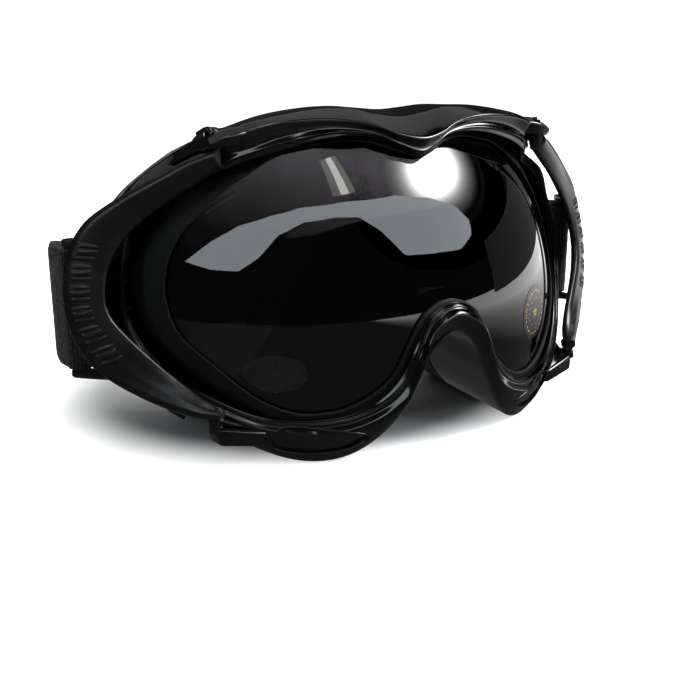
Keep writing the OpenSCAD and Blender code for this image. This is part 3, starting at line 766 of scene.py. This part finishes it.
# ---------------------------------------------------------------- lenses and their carrier
def lens_body(name, d, r, t, turns=26):
    """Part of a spherical shell inside the lens outline grown by d."""
    edge = ring([p + [0] for p in LENS_EDGE])
    edge = edge[:, :2] + outward(edge, 0, 1) * d
    middle = np.array([0, 68])
    shares = np.linspace(0, 1, turns)[1:]
    skins = []
    for radius in (r, r - t):
        rows = [middle + (edge - middle) * s for s in shares]
        rows = [on_lens(np.column_stack([row, np.full(len(row), radius)])) for row in rows]
        skins.append(np.stack(rows))
    n = len(edge)
    rim = np.concatenate([skins[0], skins[1][::-1]])
    points = rim.reshape(-1, 3)
    faces = grid_faces(len(rim), n, False, True)
    poles = on_lens(np.array([[0, 68, r], [0, 68, r - t]]))
    front, back = len(points), len(points) + 1
    last = (len(rim) - 1) * n
    faces += [[front, (k + 1) % n, k] for k in range(n)]
    faces += [[back, last + k, last + (k + 1) % n] for k in range(n)]
    obj = fix_normals(new_mesh(name, np.vstack([points, poles]), faces))
    return sharp_smooth(obj, 40)


def make_lenses():
    outer = lens_body("outer_lens", 2.9, LENS_R, LENS_T)
    dress(outer, "smoke_lens", nodes=["outer_lens"])
    inner = lens_body("inner_lens", 2.9, LENS_R - LENS_T - LENS_GAP, INNER_T)
    dress(inner, "clear_lens", nodes=["inner_lens"])

    front, back = LENS_R + 0.1, LENS_R - LENS_T - LENS_GAP - INNER_T - 0.1
    # The lip covers a little more of the lens round the sides, up to a small step low down
    cover = ring_value([0.2] * 7 + [-0.3, -0.9] + [-1.2] * 5 + [0.2] * 8)
    lip = [lens_line(cover, r) for r in (front, front + 1.2)]
    rails = [lip[0], lip[1], lens_line(CARRIER_W - 0.8, front + 1.2),
             lens_line(CARRIER_W, front + 0.4), lens_line(CARRIER_W, back),
             lens_line(CARRIER_W - 0.8, back - 1.6), lens_line(-1.5, back - 1.6),
             lens_line(-1.5, back), lens_line(3.1, back), lens_line(3.1, front)]
    rim = ring_mesh("lens_rim", rounded(rails, [0.25, 0.7, 0.8, 0.5, 0.5, 0.6, 0.5, 0.3, 0.2, 0.2],
                                        3, 1))
    dress(even_normals(rim), "matte_rubber", nodes=["lens_rim"])

    outside, inside = LENS_R - LENS_T - 0.02, LENS_R - LENS_T - LENS_GAP + 0.02
    rails = [lens_line(2.9, outside), lens_line(2.9, inside), lens_line(-1.2, inside),
             lens_line(-1.2, outside)]
    spacer = ring_mesh("lens_spacer", rounded(rails, [0.6] * 4, 3, 3))
    dress(spacer, "foam", nodes=["lens_spacer"])


make_lenses()


# ---------------------------------------------------------------- labels on the lens
def sphere_patch(name, outline, centre, low, high):
    """Thin film on the lens sphere inside an outline given as offsets from its centre: x, z."""
    shares = (0.34, 0.67, 1)
    skins = []
    for r in (high, low):
        rows = [on_lens(np.column_stack([centre + outline * s, np.full(len(outline), r)]))
                for s in shares]
        skins.append(np.stack(rows))
    rim = np.concatenate([skins[0], skins[1][::-1]])
    n = len(outline)
    points = rim.reshape(-1, 3)
    poles = on_lens(np.array([[*centre, high], [*centre, low]]))
    front, back, last = len(points), len(points) + 1, (len(rim) - 1) * n
    faces = grid_faces(len(rim), n, False, True)
    faces += [[front, (k + 1) % n, k] for k in range(n)]
    faces += [[back, last + k, last + (k + 1) % n] for k in range(n)]
    return sharp_smooth(fix_normals(new_mesh(name, np.vstack([points, poles]), faces)), 40)


def round_outline(rx, rz, n=64, tilt=0.0):
    a = np.arange(n) / n * 2 * math.pi
    x, z = np.cos(a) * rx, np.sin(a) * rz
    c, s = math.cos(tilt), math.sin(tilt)
    return np.column_stack([x * c - z * s, x * s + z * c])


def make_labels():
    centre = np.array([45.3, 35.4])
    film = LENS_R + 0.1
    base = sphere_patch("lens_label", round_outline(8.9, 8.9), centre, LENS_R + 0.02, film)
    dress(base, "gold_label", nodes=["lens_label"], look=label_base)
    marks = []
    for k in range(22):
        turn = 2 * math.pi * k / 22
        spot = centre + 7.1 * np.array([math.cos(turn), math.sin(turn)])
        size = (0.75, 0.32) if k % 3 else (0.4, 0.4)
        marks.append(sphere_patch("mark", round_outline(*size, 12, turn + math.pi / 2), spot,
                                  film, film + 0.04))
    for k in range(14):
        turn = 2 * math.pi * k / 14
        spot = centre + 4.6 * np.array([math.cos(turn), math.sin(turn)])
        marks.append(sphere_patch("mark", round_outline(0.28, 0.28, 10), spot,
                                  film, film + 0.04))
    turn = np.arange(10) / 10 * 2 * math.pi + math.pi / 2
    reach = np.where(np.arange(10) % 2 == 0, 2.3, 0.95)
    star = np.column_stack([np.cos(turn) * reach, np.sin(turn) * reach])
    marks.append(sphere_patch("mark", star, centre, film, film + 0.04))
    dress(join("lens_label_print", marks), "gold_label")
    oval = sphere_patch("size_label", round_outline(7.9, 5.5, tilt=-0.08), np.array([-50.8, 29.2]),
                        LENS_R + 0.02, film)
    dress(oval, "clear_label", nodes=["size_label"])


make_labels()


# ---------------------------------------------------------------- face frame, foam and fleece
def make_face_frame():
    b, f = ring(REAR), ring(FACE_LINE)
    middle = b * 0.6 + f * 0.4
    bead = [push(grow(b * 0.94 + f * 0.06, 0), 0.2), grow(b * 0.88 + f * 0.12, -0.45)]
    rails = [push(b, CLEAR), bead[0], bead[1], middle, f, grow(f, -9), push(grow(f, -9), -1.8),
             push(grow(f, -2.4), -2.2), push(grow(b, -2.4), CLEAR)]
    radii = [0.35, 0.3, 0.4, 3, 0.9, 0.6, 0.6, 2, 0.4]
    shell = ring_mesh("face_frame", rounded(rails, radii, 3, 1))
    dress(even_normals(shell), "matte_rubber", nodes=["face_frame"])


def foam_rails():
    f = grow(push(ring(FACE_LINE), 0.4), -0.6)
    return [f, push(grow(f, 0.9), FOAM_T * 0.35), push(grow(f, 0.2), FOAM_T * 0.8),
            push(grow(f, -2.5), FOAM_T), push(grow(f, -9), FOAM_T),
            push(grow(f, -11.3), FOAM_T * 0.7), push(grow(f, -10.4), FOAM_T * 0.2),
            grow(f, -8.4)]


def make_foam():
    """Foam ring: a soft section whose outer side waves a little, as cut foam does."""
    grid = rounded(foam_rails(), [1.2, 4, 3, 2.4, 2.4, 3, 3, 1.2], 4, 2)
    n = len(grid)
    way = np.arange(n)[:, None] / n * 2 * math.pi
    middle = grid.mean(1, keepdims=True)
    wave = 0.006 * np.sin(9 * way + 0.6) + 0.005 * np.sin(23 * way) - 0.012
    grid = middle + (grid - middle) * (1 + wave[:, :, None])
    foam = ring_mesh("face_foam", grid)
    dress(foam, "foam", nodes=["face_foam"])


def make_fleece():
    """Fleece skin: cloth that is held at its two edges and swells a little over the foam."""
    f = push(grow(ring(FACE_LINE), -3.2), FOAM_T + 0.75)[::2]
    widths = np.linspace(0, -6.4, 11)
    rows = [push(grow(f, w), 0.25 * math.sin(math.pi * k / 10)) for k, w in enumerate(widths)]
    n, m = len(f), len(rows)
    grid = np.stack(rows, 1)
    cloth = new_mesh("fleece_skin", grid.reshape(-1, 3), grid_faces(n, m, True, False))
    fix_normals(cloth)
    rest = np.array([v.co for v in cloth.data.vertices])
    held = cloth.vertex_groups.new(name="held")
    held.add([i * m + j for i in range(n) for j in (0, m - 1)], 1.0, "REPLACE")
    soft = cloth.modifiers.new("swell", "CLOTH")
    soft.settings.quality = 4
    soft.settings.mass = 0.05
    soft.settings.tension_stiffness = 20
    soft.settings.bending_stiffness = 0.05
    soft.settings.use_pressure = True
    soft.settings.uniform_pressure_force = 1.2
    soft.settings.vertex_group_mass = "held"
    soft.settings.effector_weights.gravity = 0
    soft.collision_settings.use_collision = False
    soft.point_cache.frame_end = 14
    for k in range(1, 15):
        bpy.context.scene.frame_set(k)
    apply_modifiers(cloth)
    bpy.context.scene.frame_set(1)
    swollen = np.array([v.co for v in cloth.data.vertices])
    moved = swollen - rest
    length = np.linalg.norm(moved, axis=1, keepdims=True)
    moved *= np.minimum(1, 0.0006 / np.maximum(length, 1e-9))
    swollen = rest + moved * np.sign(moved[:, 1:2] + 1e-12)
    cloth.data.vertices.foreach_set("co", swollen.astype(np.float32).ravel())
    cloth.data.update()
    skin = cloth.modifiers.new("skin", "SOLIDIFY")
    skin.thickness = 0.0008
    skin.offset = 0
    fine = cloth.modifiers.new("fine", "SUBSURF")
    fine.levels = fine.render_levels = 1
    apply_modifiers(cloth)
    cloth.data.shade_smooth()
    dress(cloth, "fleece", nodes=["fleece_skin"])


def make_upper_clips():
    """Small rounded hooks that hold the face frame to the brow."""
    tab = rounded_box("tab", [-2.3, -2.2, -1.0], [2.3, 3.0, 0.45], 0.6)
    toe = rounded_box("toe", [-1.9, 2.0, -1.2], [1.9, 4.0, 0.35], 0.5)
    clip = join("upper_clips", [tab, toe])
    turn = Matrix.Rotation(math.radians(27), 4, "Y")
    place = Matrix.Translation(Vector((CLIP_AT * MM).tolist()))
    origin = Matrix.Translation(Vector((ORIGIN * MM).tolist()))
    clip.data.transform(origin.inverted() @ place @ turn @ origin)
    whole = join("upper_clips", [clip, mirrored(clip, "left_clip")])
    dress(whole, "frame_gloss", nodes=["upper_clips"])


CLIP_AT = np.array([53.8, 31.6, 95.3])


def vent_strip(low, high):
    """Strip of open foam behind a run of vents on the right; low and high are shares of the half."""
    rear = ring(REAR)
    half = 21 * SUB
    run = slice(round(low * half), round(high * half) + 1)
    up, down = grow(rear, -6.4)[run], grow(rear, -8.6)[run]
    rails = [push(up, 6), push(down, 6), push(down, 3.2), push(up, 3.2)]
    return capped_mesh("strip", rounded(rails, [0.5] * 4, 3, 1))


def make_vent_foam():
    for name, low, high in (("top_vent_foam", 0.012, 0.198), ("bottom_vent_foam", 0.782, 0.858)):
        right = vent_strip(low, high)
        both = join(name, [right, mirrored(right, "left_strip")])
        dress(both, "foam", nodes=[name])


make_face_frame()
make_upper_clips()
make_foam()
make_fleece()
make_vent_foam()


# ---------------------------------------------------------------- outriggers
ARM_SUB = 52


def arm_band():
    """Curved band with a rounded section, an end face at the brow, a tip, and moulded grips."""
    inner, outer = smooth_open(ARM_IN, ARM_SUB), smooth_open(ARM_OUT, ARM_SUB)
    share = smooth_open([[s] for s in ARM_SHARE], ARM_SUB)
    run = unit(np.gradient(inner + outer, axis=0))
    across = unit(outer - inner)
    back = unit(np.cross(across, run))
    t = ARM_T * share

    def at(v, depth):
        return inner * (1 - v) + outer * v + back * depth

    rails = [at(0, 0.3), at(0.15, -0.4), at(0.5, -0.9), at(0.85, -0.5), at(1, 0.5),
             at(1, 0.7 * t), at(0.8, t), at(0.25, 0.85 * t), at(0, 0.5 * t)]
    n = len(inner)
    low = step(0.62, 0.75, np.linspace(0, 1, n))[:, None]
    radii = [0.6, 1.2 - 0.6 * low, 3 - 2.2 * low, 1.6 - 0.8 * low, 1.0, 1.2, 1.6, 1.2, 0.8]
    grid = rounded(rails, radii, 4, 3)

    # Grips: pads with a pair of thin slits in each, over the outer part of the band
    width = np.linalg.norm(outer - inner, axis=1)[:, None]
    v = ((grid - inner[:, None]) * across[:, None]).sum(2) / width
    depth = ((grid - inner[:, None]) * back[:, None]).sum(2)
    front = 1 - step(0.2, 1.6, depth)
    z = ((inner + outer) / 2)[:, 2][:, None] + (v - 0.5) * 1.5
    place = (z - GRIP_LOW) / GRIP_STEP + 0.5
    part = place - np.floor(place)
    there = step(-0.1, 0.1, place) * (1 - step(GRIP_COUNT - 0.1, GRIP_COUNT + 0.1, place))
    pad = step(0.1, 0.24, part) * (1 - step(0.76, 0.9, part))
    over = step(0.34, 0.42, v) * np.maximum(front, step(0.8, 0.95, v)) * (1 - 0.5 * step(0.7, 1, v))
    slit = np.exp(-((part - 0.32) / 0.06) ** 2) + np.exp(-((part - 0.68) / 0.06) ** 2)
    slit *= step(0.37, 0.44, v) * (1 - step(0.66, 0.76, v)) * front
    rise = there * (0.3 * pad * over - 0.6 * slit)
    e1 = np.gradient(grid, axis=0)
    e2 = np.roll(grid, -1, 1) - np.roll(grid, 1, 1)
    normal = unit(np.cross(e2, e1))
    away = ((grid - grid.mean(1, keepdims=True)) * normal).sum(2)
    normal *= np.sign(np.median(away))
    grid = grid + normal * rise[:, :, None]

    # Rounded end face at each end
    ends = []
    for k, sign in ((0, -1), (n - 1, 1)):
        section = grid[k]
        centre = section.mean(0)
        size = np.linalg.norm(section - centre, axis=1, keepdims=True)
        rows = []
        for inset, lift in ((0.12, 0.18), (0.35, 0.32), (0.7, 0.38)):
            rows.append(centre + (section - centre) * (1 - inset / size)
                        + run[k] * sign * lift * 0.6)
        ends.append(rows)
    rows = [r[None] for r in ends[0][::-1]] + [grid] + [r[None] for r in ends[1]]
    return even_normals(capped_mesh("arm", np.concatenate(rows)))


def knuckle(name, low, high, r):
    """Round hinge boss with a bore, between two distances along the hinge axis."""
    return lathe(name, UPPER_PIVOT, AXIS, [(low, PIN_R), (low, r - 0.35), (low + 0.35, r),
                                           (high - 0.35, r), (high, r - 0.35), (high, PIN_R)])


def bar_eye(z, root):
    """Strut from the back of the band to one end of the strap bar."""
    eye_t, r = 2, BAR_R + 0.9
    ring_points = [BAR_FOOT * [1, 1, 0] + [r * math.cos(a), r * math.sin(a), h]
                   for a in np.arange(32) * math.pi / 16 for h in (z + 0.3, z + eye_t - 0.3)]
    inner_points = [BAR_FOOT * [1, 1, 0] + [(r - 0.3) * math.cos(a), (r - 0.3) * math.sin(a), h]
                    for a in np.arange(32) * math.pi / 16 for h in (z, z + eye_t)]
    return hull_mesh("eye", np.vstack([ring_points, inner_points, ball_points(root, 1.2)]))


def make_arms():
    band = arm_band()
    fairing = hull_mesh("tip", np.vstack(
        [ball_points(LOWER_PIVOT + AXIS * d + s, 0.4) for d in (0.2, 1.8) for s in BOSS_RIM]
        + [ball_points([68.4, -1.6, 21.2], 0.9), ball_points([69.6, -1.4, 19.4], 0.9)]))
    parts = [band, knuckle("k1", -2.4, 3.4, 2.5), fairing,
             bar_eye(BAR_FOOT[2], [91.4, 18.4, 29.8]),
             bar_eye(BAR_FOOT[2] + BAR_L - 2, [88.4, 25.8, 66.4])]
    right = join("arm_right", parts)
    left = mirrored(right, "arm_left")
    dress(right, "arm_plastic", "outrigger_right", ["arm_right"])
    dress(left, "arm_plastic", "outrigger_left", ["arm_left"])


def make_lower_pins():
    """Short pins between the boss on the wing and the arm's tip, which hides their ends."""
    profile = [(-0.6, 0.02), (-0.6, 1.2), (-0.4, 1.4), (6, 1.4), (6.2, 1.2), (6.2, 0.02)]
    pin = lathe("lower_pin_right", LOWER_PIVOT, AXIS, profile)
    dress(mirrored(pin, "lower_pin_left"), "steel", nodes=["lower_pin_left"])
    dress(pin, "steel", nodes=["lower_pin_right"])


make_arms()
make_lower_pins()


# ---------------------------------------------------------------- strap
STRAP_SUB = 40


def band_mesh(name, line, start=0.0):
    """Flat woven band along a line, with soft edges and a slightly thinner selvedge."""
    line = np.asarray(line, float)
    run = unit(np.gradient(line, axis=0))
    side = unit(np.cross(run, [0, 0, 1]))
    v = np.concatenate([np.linspace(-1, 1, 25), np.linspace(1, -1, 25)[1:-1]])
    face = np.concatenate([np.ones(25), -np.ones(23)])
    edge = np.abs(v)
    half = STRAP_T / 2 * (1 - 0.12 * step(0.86, 0.9, edge) + 0.12 * step(0.94, 0.97, edge))
    half = half * np.sqrt(np.clip(1 - step(0.97, 1.0, edge) * 0.92, 0.06, 1)) * 0.98
    grid = (line[:, None] + side[:, None] * (face * half)[None, :, None]
            + np.array([0, 0, 1]) * (v * STRAP_W / 2)[None, :, None])
    gap = np.linalg.norm(np.diff(line, axis=0), axis=1)
    far = (start + np.concatenate([[0], np.cumsum(gap)])) * MM
    uv = np.stack(np.broadcast_arrays(far[:, None], v[None] * STRAP_W / 2 * MM), -1)
    return capped_mesh(name, grid, uv.reshape(-1, 2))


def sewn_loop():
    """Strap end wrapped round the bar, as a closed tube with a soft outer face."""
    low, high = STRAP_LINE[0][2] - STRAP_W / 2, STRAP_LINE[0][2] + STRAP_W / 2
    r_in, r_out = BAR_R + 0.22, BAR_R + 0.2 + STRAP_T
    profile = [(0, r_in), (0, r_out - 0.5), (0.15, r_out - 0.15), (0.6, r_out - 0.02)]
    profile += [(h, r_out) for h in np.linspace(1.5, STRAP_W - 1.5, 24)]
    profile += [(STRAP_W - 0.6, r_out - 0.02), (STRAP_W - 0.15, r_out - 0.15),
                (STRAP_W, r_out - 0.5), (STRAP_W, r_in)]
    n = 64
    turn = np.arange(n) / n * 2 * math.pi
    foot = np.array([BAR_FOOT[0], BAR_FOOT[1], low])
    spokes = np.stack([np.cos(turn), np.sin(turn), 0 * turn], 1)
    grid = np.stack([foot + [0, 0, h] + spokes * r for h, r in profile], 1)
    uv = np.array([[turn[i] * r_out * MM, (h - (high - low) / 2) * MM]
                   for i in range(n) for h, _ in profile])
    return ring_mesh("loop", grid, uv)


def stitches(line):
    """Two rows of thread across the sewn end, on both faces."""
    made = []
    run = unit(np.gradient(line, axis=0))
    side = unit(np.cross(run, [0, 0, 1]))
    for k in (int(len(line) * 0.42), int(len(line) * 0.62)):
        for z in np.arange(-15.4, 15.5, 2.2):
            for face in (1, -1):
                t = np.linspace(-0.8, 0.8, 7)
                lift = 0.1 * np.cos(t / 0.8 * math.pi / 2)
                path = (line[k] + side[k] * face * (STRAP_T / 2 - 0.12)
                        + side[k] * face * lift[:, None] + np.array([0, 0, 1]) * (z + t[:, None]))
                made.append(tube("stitch", path, 0.22, 6))
    return join("strap_stitches_right", made)


def make_strap():
    line = smooth_open(STRAP_LINE, STRAP_SUB)
    cut_at = int(STRAP_SEWN * STRAP_SUB)
    sewn, free = line[:cut_at + 1], line[cut_at:]
    end = join("strap_end_right", [band_mesh("sewn", sewn), sewn_loop()])
    seam = stitches(sewn)
    side = band_mesh("strap_side_right", free, 13.0)
    twins = [mirrored(o, o.name.replace("right", "left")) for o in (end, seam, side)]
    for hand, (e, s, f) in (("right", (end, seam, side)), ("left", twins)):
        dress(e, "strap_webbing", "outrigger_" + hand, ["strap_end_" + hand])
        dress(s, "strap_webbing", "outrigger_" + hand, look=thread)
        f.data.materials.clear()
        f.data.materials.append(MATERIALS["strap_webbing"])
        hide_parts("strap_side_" + hand)
        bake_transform(f)
    back = np.linspace([-BACK_HALF, BACK_Y, BACK_Z], [BACK_HALF, BACK_Y, BACK_Z], 80)
    dress(band_mesh("strap_back", back), "strap_webbing", nodes=["strap_back"])


def make_adjusters():
    gap, bar, post = STRAP_T / 2 + CLEAR, 1.8, 4
    half = ADJUSTER_L / 2
    reach = STRAP_W / 2 + CLEAR

    def box(low, high, bevel=0.7):
        at = np.array([ADJUSTER_X, BACK_Y, BACK_Z])
        return rounded_box("box", at + low, at + high, bevel)

    parts = []
    for s in (-1, 1):
        parts.append(box([-half, -gap - bar, s * reach], [half, gap + bar,
                                                          s * (reach + ADJUSTER_RAIL)]))
        x = s * (ADJUSTER_L - post) / 2
        parts.append(box([x - post / 2, gap, -reach - 0.6], [x + post / 2, gap + bar,
                                                             reach + 0.6], 0.6))
    parts.append(box([-post / 2, -gap - bar, -reach - 0.6], [post / 2, -gap, reach + 0.6], 0.6))
    for k in (-3, 0, 3):
        parts.append(box([k * 2 - 0.5, gap + bar - 0.5, reach + 0.9],
                         [k * 2 + 0.5, gap + bar, reach + 2.9], 0.2))
    right = join("adjuster_right", parts)
    left = mirrored(right, "adjuster_left")
    dress(right, "adjuster_plastic", "slider_right", ["adjuster_right"])
    dress(left, "adjuster_plastic", "slider_left", ["adjuster_left"])


make_strap()
make_adjusters()


# ---------------------------------------------------------------- CAD nodes that stay as they are
def keep(name, slot, bevel=0.0):
    """A CAD node with its finish, and with softened edges where it has corners."""
    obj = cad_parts[name]
    obj.data.materials.clear()
    obj.data.materials.append(MATERIALS[slot])
    if bevel:
        soft = obj.modifiers.new("soft edges", "BEVEL")
        soft.width = bevel * MM
        soft.segments = 3
        soft.limit_method = "ANGLE"
        soft.angle_limit = math.radians(35)
        soft.harden_normals = True


for hand in ("left", "right"):
    keep("side_vent_" + hand, "matte_rubber", 0.2)
    keep("upper_pin_" + hand, "steel")
    keep("strap_bar_" + hand, "steel")

keep("lower_clips", "frame_gloss", 0.25)


# ---------------------------------------------------------------- floor, light and camera
# Strengths of the lights, of the room, and of the painted table reflection
BAND, LAMP, BACK, SIDE, TOP, ROOM = 3.6, 30.0, 0.4, 0.12, 4.2, 0.025
TABLE_DIM, TABLE_BRIGHT = 0.09, 2.2


def sky_point(azimuth, elevation, distance):
    """Point seen from the middle of the goggles; azimuth 0 is straight ahead of the lens."""
    a, e = math.radians(azimuth), math.radians(elevation)
    return Vector((math.sin(a) * math.cos(e), -math.cos(a) * math.cos(e), math.sin(e))) * distance


def stage_object(name, points, faces, material):
    mesh = bpy.data.meshes.new(name)
    mesh.from_pydata([tuple(p) for p in points], [], faces)
    mesh.materials.append(material)
    obj = bpy.data.objects.new(name, mesh)
    bpy.context.scene.collection.objects.link(obj)
    return obj


def glow(name, colour, strength, core=None):
    """Light-emitting material; with a core it fades from the middle of the object outward."""
    m = bpy.data.materials.new(name)
    m.use_nodes = True
    tree = m.node_tree
    tree.nodes.clear()
    light = node(tree, "ShaderNodeEmission", Color=(*colour, 1), Strength=strength)
    if core:
        where = tree.nodes.new("ShaderNodeTexCoord")
        far = tree.nodes.new("ShaderNodeVectorMath")
        far.operation = "LENGTH"
        tree.links.new(where.outputs["Object"], far.inputs[0])
        fade = tree.nodes.new("ShaderNodeFloatCurve")
        tree.links.new(far.outputs["Value"], fade.inputs["Value"])
        curve = fade.mapping.curves[0]
        for x, y in core:
            if 0 < x < 1:
                curve.points.new(x, y)
        curve.points[0].location = core[0]
        curve.points[-1].location = core[-1]
        fade.mapping.update()
        power = tree.nodes.new("ShaderNodeMath")
        power.operation = "MULTIPLY"
        tree.links.new(fade.outputs["Value"], power.inputs[0])
        power.inputs[1].default_value = strength
        tree.links.new(power.outputs["Value"], light.inputs["Strength"])
    out = tree.nodes.new("ShaderNodeOutputMaterial")
    tree.links.new(light.outputs[0], out.inputs["Surface"])
    return m


def panel(name, azimuths, low, high, colour, strength, distance=1.3):
    """Curved light panel: its lower and upper edge are elevations for each azimuth."""
    rows = 6
    points = [sky_point(a, l + (h - l) * k / (rows - 1), distance)
              for a, l, h in zip(azimuths, low, high) for k in range(rows)]
    obj = stage_object(name, points, grid_faces(len(azimuths), rows, False, False),
                       glow(name, colour, strength))
    obj.visible_camera = False
    return obj


def lamp(name, azimuth, elevation, size, strength, core, distance=1.2, stretch=1.0):
    """Round light that is brightest in its middle and fades toward its edge."""
    n = 48
    turn = np.arange(n) / n * 2 * math.pi
    points = [(math.cos(a), math.sin(a), 0) for a in turn]
    obj = stage_object(name, points, [list(range(n))], glow(name, (1, 1, 1), strength, core))
    obj.location = sky_point(azimuth, elevation, distance)
    obj.rotation_euler = (-obj.location).to_track_quat("Z", "Y").to_euler()
    obj.scale = (size, size * stretch, size)
    obj.visible_camera = False
    return obj


def paper():
    """White paper: matt near the goggles, washed out further off by a painted glow, and a dim
    painted reflection in glossy rays.
    """
    m, tree, bsdf = new_material("paper", Base_Color=(0.82, 0.82, 0.82, 1), Roughness=1.0,
                                 Specular_IOR_Level=0.0)
    link = tree.links.new
    where = tree.nodes.new("ShaderNodeTexCoord")
    oval = node(tree, "ShaderNodeMapping", Location=(0, -0.08, 0), Scale=(10, 11, 1))
    link(where.outputs["Object"], oval.inputs["Vector"])
    far = tree.nodes.new("ShaderNodeVectorMath")
    far.operation = "LENGTH"
    link(oval.outputs["Vector"], far.inputs[0])
    # Painted glow: camera rays see the paper emit light, none near the goggles and rising further
    # off
    painted_glow = node(tree, "ShaderNodeMapRange", To_Min=0.0, To_Max=1.1)
    painted_glow.interpolation_type = "SMOOTHSTEP"
    painted_glow.inputs["From Min"].default_value = 0.72
    painted_glow.inputs["From Max"].default_value = 1.05
    link(far.outputs["Value"], painted_glow.inputs["Value"])
    path = tree.nodes.new("ShaderNodeLightPath")
    seen = tree.nodes.new("ShaderNodeMath")
    seen.operation = "MULTIPLY"
    link(painted_glow.outputs["Result"], seen.inputs[0])
    link(path.outputs["Is Camera Ray"], seen.inputs[1])
    link(seen.outputs["Value"], bsdf.inputs["Emission Strength"])
    bsdf.inputs["Emission Color"].default_value = (1, 1, 1, 1)

    # Painted reflection: glossy rays see an emission instead of the paper, dim toward the left and
    # growing bright toward the right, standing in for a lit table
    apart = tree.nodes.new("ShaderNodeSeparateXYZ")
    link(where.outputs["Object"], apart.inputs[0])
    side = node(tree, "ShaderNodeMapRange", To_Min=TABLE_DIM, To_Max=TABLE_BRIGHT)
    side.inputs["From Min"].default_value = 0.12
    side.inputs["From Max"].default_value = 0.5
    link(apart.outputs["X"], side.inputs["Value"])
    mirror = node(tree, "ShaderNodeEmission", Color=(1, 1, 1, 1))
    link(side.outputs["Result"], mirror.inputs["Strength"])
    mix = tree.nodes.new("ShaderNodeMixShader")
    link(path.outputs["Is Glossy Ray"], mix.inputs["Fac"])
    link(bsdf.outputs["BSDF"], mix.inputs[1])
    link(mirror.outputs[0], mix.inputs[2])
    link(mix.outputs[0], tree.nodes["Material Output"].inputs["Surface"])
    return m


def make_studio():
    half, down = 6, -0.0002
    stage_object("floor", [(-half, -half, down), (half, -half, down), (half, half, down),
                           (-half, half, down)], [(0, 1, 2, 3)], paper())

    # A long curved softbox in front, thinner in its middle, and a round lamp on the right
    az = np.linspace(-75, 59, 110)
    top = np.interp(az, [-75, -66, -55, -40, -24, 0, 28, 45, 56, 59],
                    [22.4, 31, 38.5, 43.5, 47, 47.3, 44, 37.5, 30, 24])
    low = np.interp(az, [-75, -64, -52, -44, -36, -24, -8, 4, 12, 20, 48, 57, 59],
                    [22.2, 21, 21.5, 27, 36, 41, 42, 40.5, 34, 23, 18, 20, 23.8])
    panel("band", az, np.minimum(low, top - 0.3), top, (0.84, 0.95, 1.0), BAND)
    for name, start, end, strength in (("window_left", -6, -1, 1.2), ("window", -1, 4, 7.0),
                                       ("window_right", 4, 8, 1.4)):
        az = np.linspace(start, end, 6)
        panel(name, az, np.full(6, 50.0), np.full(6, 71.0), (1.0, 1.0, 0.9), strength)
    lamp("lamp", 61, 43, 1.5, LAMP, [(0, 1), (0.18, 0.9), (0.27, 0.35), (0.36, 0.08),
                                     (0.46, 0.012), (0.6, 0.001), (1, 0)], 1.5, 0.62)
    panel("back_light", np.linspace(110, 250, 30), np.full(30, 38.0), np.full(30, 80.0),
          (1, 0.98, 0.97), BACK)
    panel("right_wall", np.linspace(62, 120, 20), np.full(20, 0.5), np.full(20, 16.0),
          (1, 0.98, 1.0), SIDE)
    lamp("top_light", 210, 80, 0.42, TOP, [(0, 1), (0.5, 0.8), (1, 0)], 1.3)

    world = bpy.data.worlds.new("studio")
    bpy.context.scene.world = world
    world.use_nodes = True
    tree = world.node_tree
    tree.nodes.clear()
    room = node(tree, "ShaderNodeBackground", Color=(1, 0.97, 0.97, 1), Strength=ROOM)
    white = node(tree, "ShaderNodeBackground", Color=(1, 1, 1, 1), Strength=1.05)
    path = tree.nodes.new("ShaderNodeLightPath")
    mix = tree.nodes.new("ShaderNodeMixShader")
    tree.links.new(path.outputs["Is Camera Ray"], mix.inputs["Fac"])
    tree.links.new(room.outputs[0], mix.inputs[1])
    tree.links.new(white.outputs[0], mix.inputs[2])
    out = tree.nodes.new("ShaderNodeOutputWorld")
    tree.links.new(mix.outputs[0], out.inputs["Surface"])
    bpy.context.scene.view_settings.view_transform = "Standard"


def make_camera():
    camera = bpy.data.objects.new("camera", bpy.data.cameras.new("camera"))
    camera.data.sensor_width = 36
    camera.data.lens = 49.42
    camera.data.clip_start = 0.01
    camera.location = (-0.1748, -0.2953, 0.1104)
    camera.rotation_euler = (math.radians(73.92), 0, math.radians(-32.83))
    bpy.context.scene.collection.objects.link(camera)
    bpy.context.scene.camera = camera


make_studio()
make_camera()
